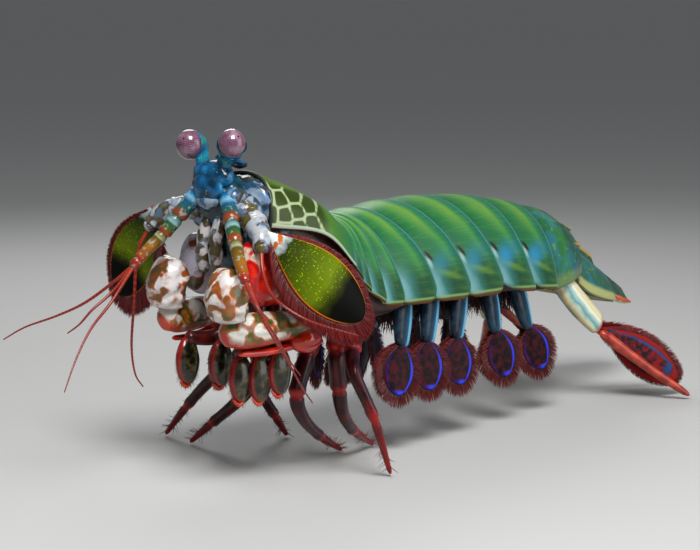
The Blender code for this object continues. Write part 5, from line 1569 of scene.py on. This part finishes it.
# %% [markdown]
# Each half of the tail fan has a stout stalk, a stiff outer bar, two blades and a prong. The
# stalk is cream with light blue, and the rest is red. In life the fan steers and shields, so
# the bar and the prong are hard and glossy, and the blades thin and fringed.
# %% Tail fan finishes
FAN_PAINT = paddle_paint("red_blue_tail_blade", "#060C18", "#1A3A6A", "#7A0A06", 0.55)
BAR_RED = plain_paint("orange_red_bar", "#7A1A10", "#B8442A", size=3)


def stalk_cream():
    """Cream and light blue, drawn with fine yellow-orange lines along the stalk."""
    material, tree, shader = new_finish("cream_blue_tail_stalk",
                                        roughness=0.28, coat=0.25, coat_roughness=0.1)
    along, _, side = flow_of(tree)
    base = add(tree, RAMP, {0: drifting(tree, side, 0.5, 3.0)}, stops=[
        (0.0, "#D8D0A8"), (0.35, "#D8D8C0"), (0.5, "#8AB8C0"), (0.75, "#2A7A80"), (1.0, "#C8C8A8")])
    lines = add(tree, MATH, {0: side, 1: 14.0}, operation="MULTIPLY")
    lines = add(tree, MATH, {0: lines}, operation="SINE")
    lines = add(tree, RAMP, {0: lines}, stops=[(0.75, 0.0), (0.95, 0.5)])
    knee = add(tree, RAMP, {0: along}, stops=[(0.88, 0.0), (0.96, 1.0)])
    dress(tree, shader, base, [(lines, "#C89A4A"), (knee, "#B8603A")], grain=0.5, height=0.05)
    return material


STALK_CREAM = stalk_cream()
print("tail fan finishes", [paint.name for paint in (FAN_PAINT, BAR_RED, STALK_CREAM)])

# %% [markdown]
# The half is written once, and the sign of the side mirrors it. A Mirror modifier would make
# one piece of both, but each side stands for a solid of its own.
# %% Tail fan
FAN_THICK = 1.0
FAN_BELLY = 0.6
FAN_BRISTLES = 600


def mirrored(spot, sign):
    """A place or a way of the fan, moved to the side that the sign says."""
    return (spot[0], sign * spot[1], spot[2])


for side, sign in SIDES.items():
    node = "uropod_" + side
    stops = [(55.4, sign * 8.4, 26.6, 2.1, 2.7), (59.4, sign * 11.0, 20.8, 2.0, 3.5),
             (64.0, sign * 13.5, 15.6, 1.5, 3.2)]
    stem = tube("fan_stem_" + side, stops, flat=(0.3, sign, 0.3), rows=30, columns=24)
    settle(stem, STALK_CREAM, "tail_fan_red", node)
    stops = [(63.0, sign * 14.0, 14.8, 1.2, 1.2), (70.4, sign * 20.8, 7.2, 0.95, 0.95),
             (77.2, sign * 27.4, 0.8, 0.7, 0.7)]
    bar = tube("fan_bar_" + side, stops, rows=30, columns=16)
    settle(bar, BAR_RED, "tail_fan_red", node)
    stops = [(62.6, sign * 10.9, 17.6, 1.1, 1.1), (69.0, sign * 10.9, 13.4, 0.8, 0.8),
             (75.6, sign * 11.6, 10.4, 0.4, 0.4)]
    prong = tube("fan_prong_" + side, stops, rows=24, columns=14)
    settle(prong, BAR_RED, "tail_fan_red", node)
    for which, start, end, way, width, reaches in (
            ("outer", (63.6, 13.2, 15.8), (78.8, 23.0, 3.6), (0.55, 0.2, 0.8), 8.0, (1.6, 0.6)),
            ("inner", (64.0, 11.6, 16.8), (83.6, 16.0, 6.6), (0.3, 0.8, 0.5), 6.2, (1.5, 1.5))):
        start, end, way = (mirrored(spot, sign) for spot in (start, end, way))
        leaf = blade("fan_%s_%s" % (which, side), start, end, way, width, FAN_THICK, belly=FAN_BELLY)
        settle(leaf, FAN_PAINT, "tail_fan_red", node)
        hairs = rim_fringe("fan_hairs_%s_%s" % (which, side), start, end, way, width, FAN_THICK, reaches,
                           FAN_BRISTLES, belly=FAN_BELLY, bristle_width=0.2, seed=23)
        settle(hairs, FRINGE_RED, "tail_fan_red", node)
print("pieces in all", len(PIECES))

# %% [markdown]
# A museum case is lit softly from above, so the lacquer shows long quiet highlights. The floor
# is plain, pale and matt, and so wide that its edge never shows. One large lamp high above the
# camera makes the shapes, a weaker one at the right fills the shadows, and a third stands
# behind and lights the rims. A bare bulb would be simpler, but its highlights would be dots.
# %% Floor and light
FLOOR_HALF = 60.0
LIT_SPOT = (10, 0, 28)


def soft_light(name, spot, size, power, colour="#FFFFFF"):
    """A square light at a spot in millimetres that points at the animal."""
    lamp = bpy.data.objects.new(name, bpy.data.lights.new(name, "AREA"))
    lamp.data.size = size * MM
    lamp.data.energy = power
    lamp.data.color = linear(colour)[:3]
    lamp.location = at(spot)
    lamp.rotation_euler = (at(spot) - at(LIT_SPOT)).to_track_quat("Z", "Y").to_euler()
    bpy.context.scene.collection.objects.link(lamp)
    return lamp


floor_mesh = bmesh.new()
bmesh.ops.create_grid(floor_mesh, x_segments=1, y_segments=1, size=FLOOR_HALF)
floor_data = bpy.data.meshes.new("floor")
floor_mesh.to_mesh(floor_data)
floor_mesh.free()
floor = bpy.data.objects.new("floor", floor_data)
bpy.context.scene.collection.objects.link(floor)
floor_paint, floor_tree, floor_shader = new_finish("pale_floor", roughness=0.7, coat=0.0)
floor_shader.inputs["Base Color"].default_value = linear("#B8B8B6")
floor.data.materials.append(floor_paint)

world = bpy.data.worlds.new("studio")
bpy.context.scene.world = world
world.use_nodes = True
world.node_tree.nodes["Background"].inputs[0].default_value = linear("#C8CCD0")
world.node_tree.nodes["Background"].inputs[1].default_value = 0.3
bpy.context.scene.view_settings.view_transform = "Standard"
soft_light("key_light", (-150, -180, 330), 160, 1.85)
soft_light("fill_light", (120, -330, 120), 260, 0.55)
soft_light("rim_light", (160, 220, 240), 160, 0.35)
print("lamps", len(bpy.data.lights))
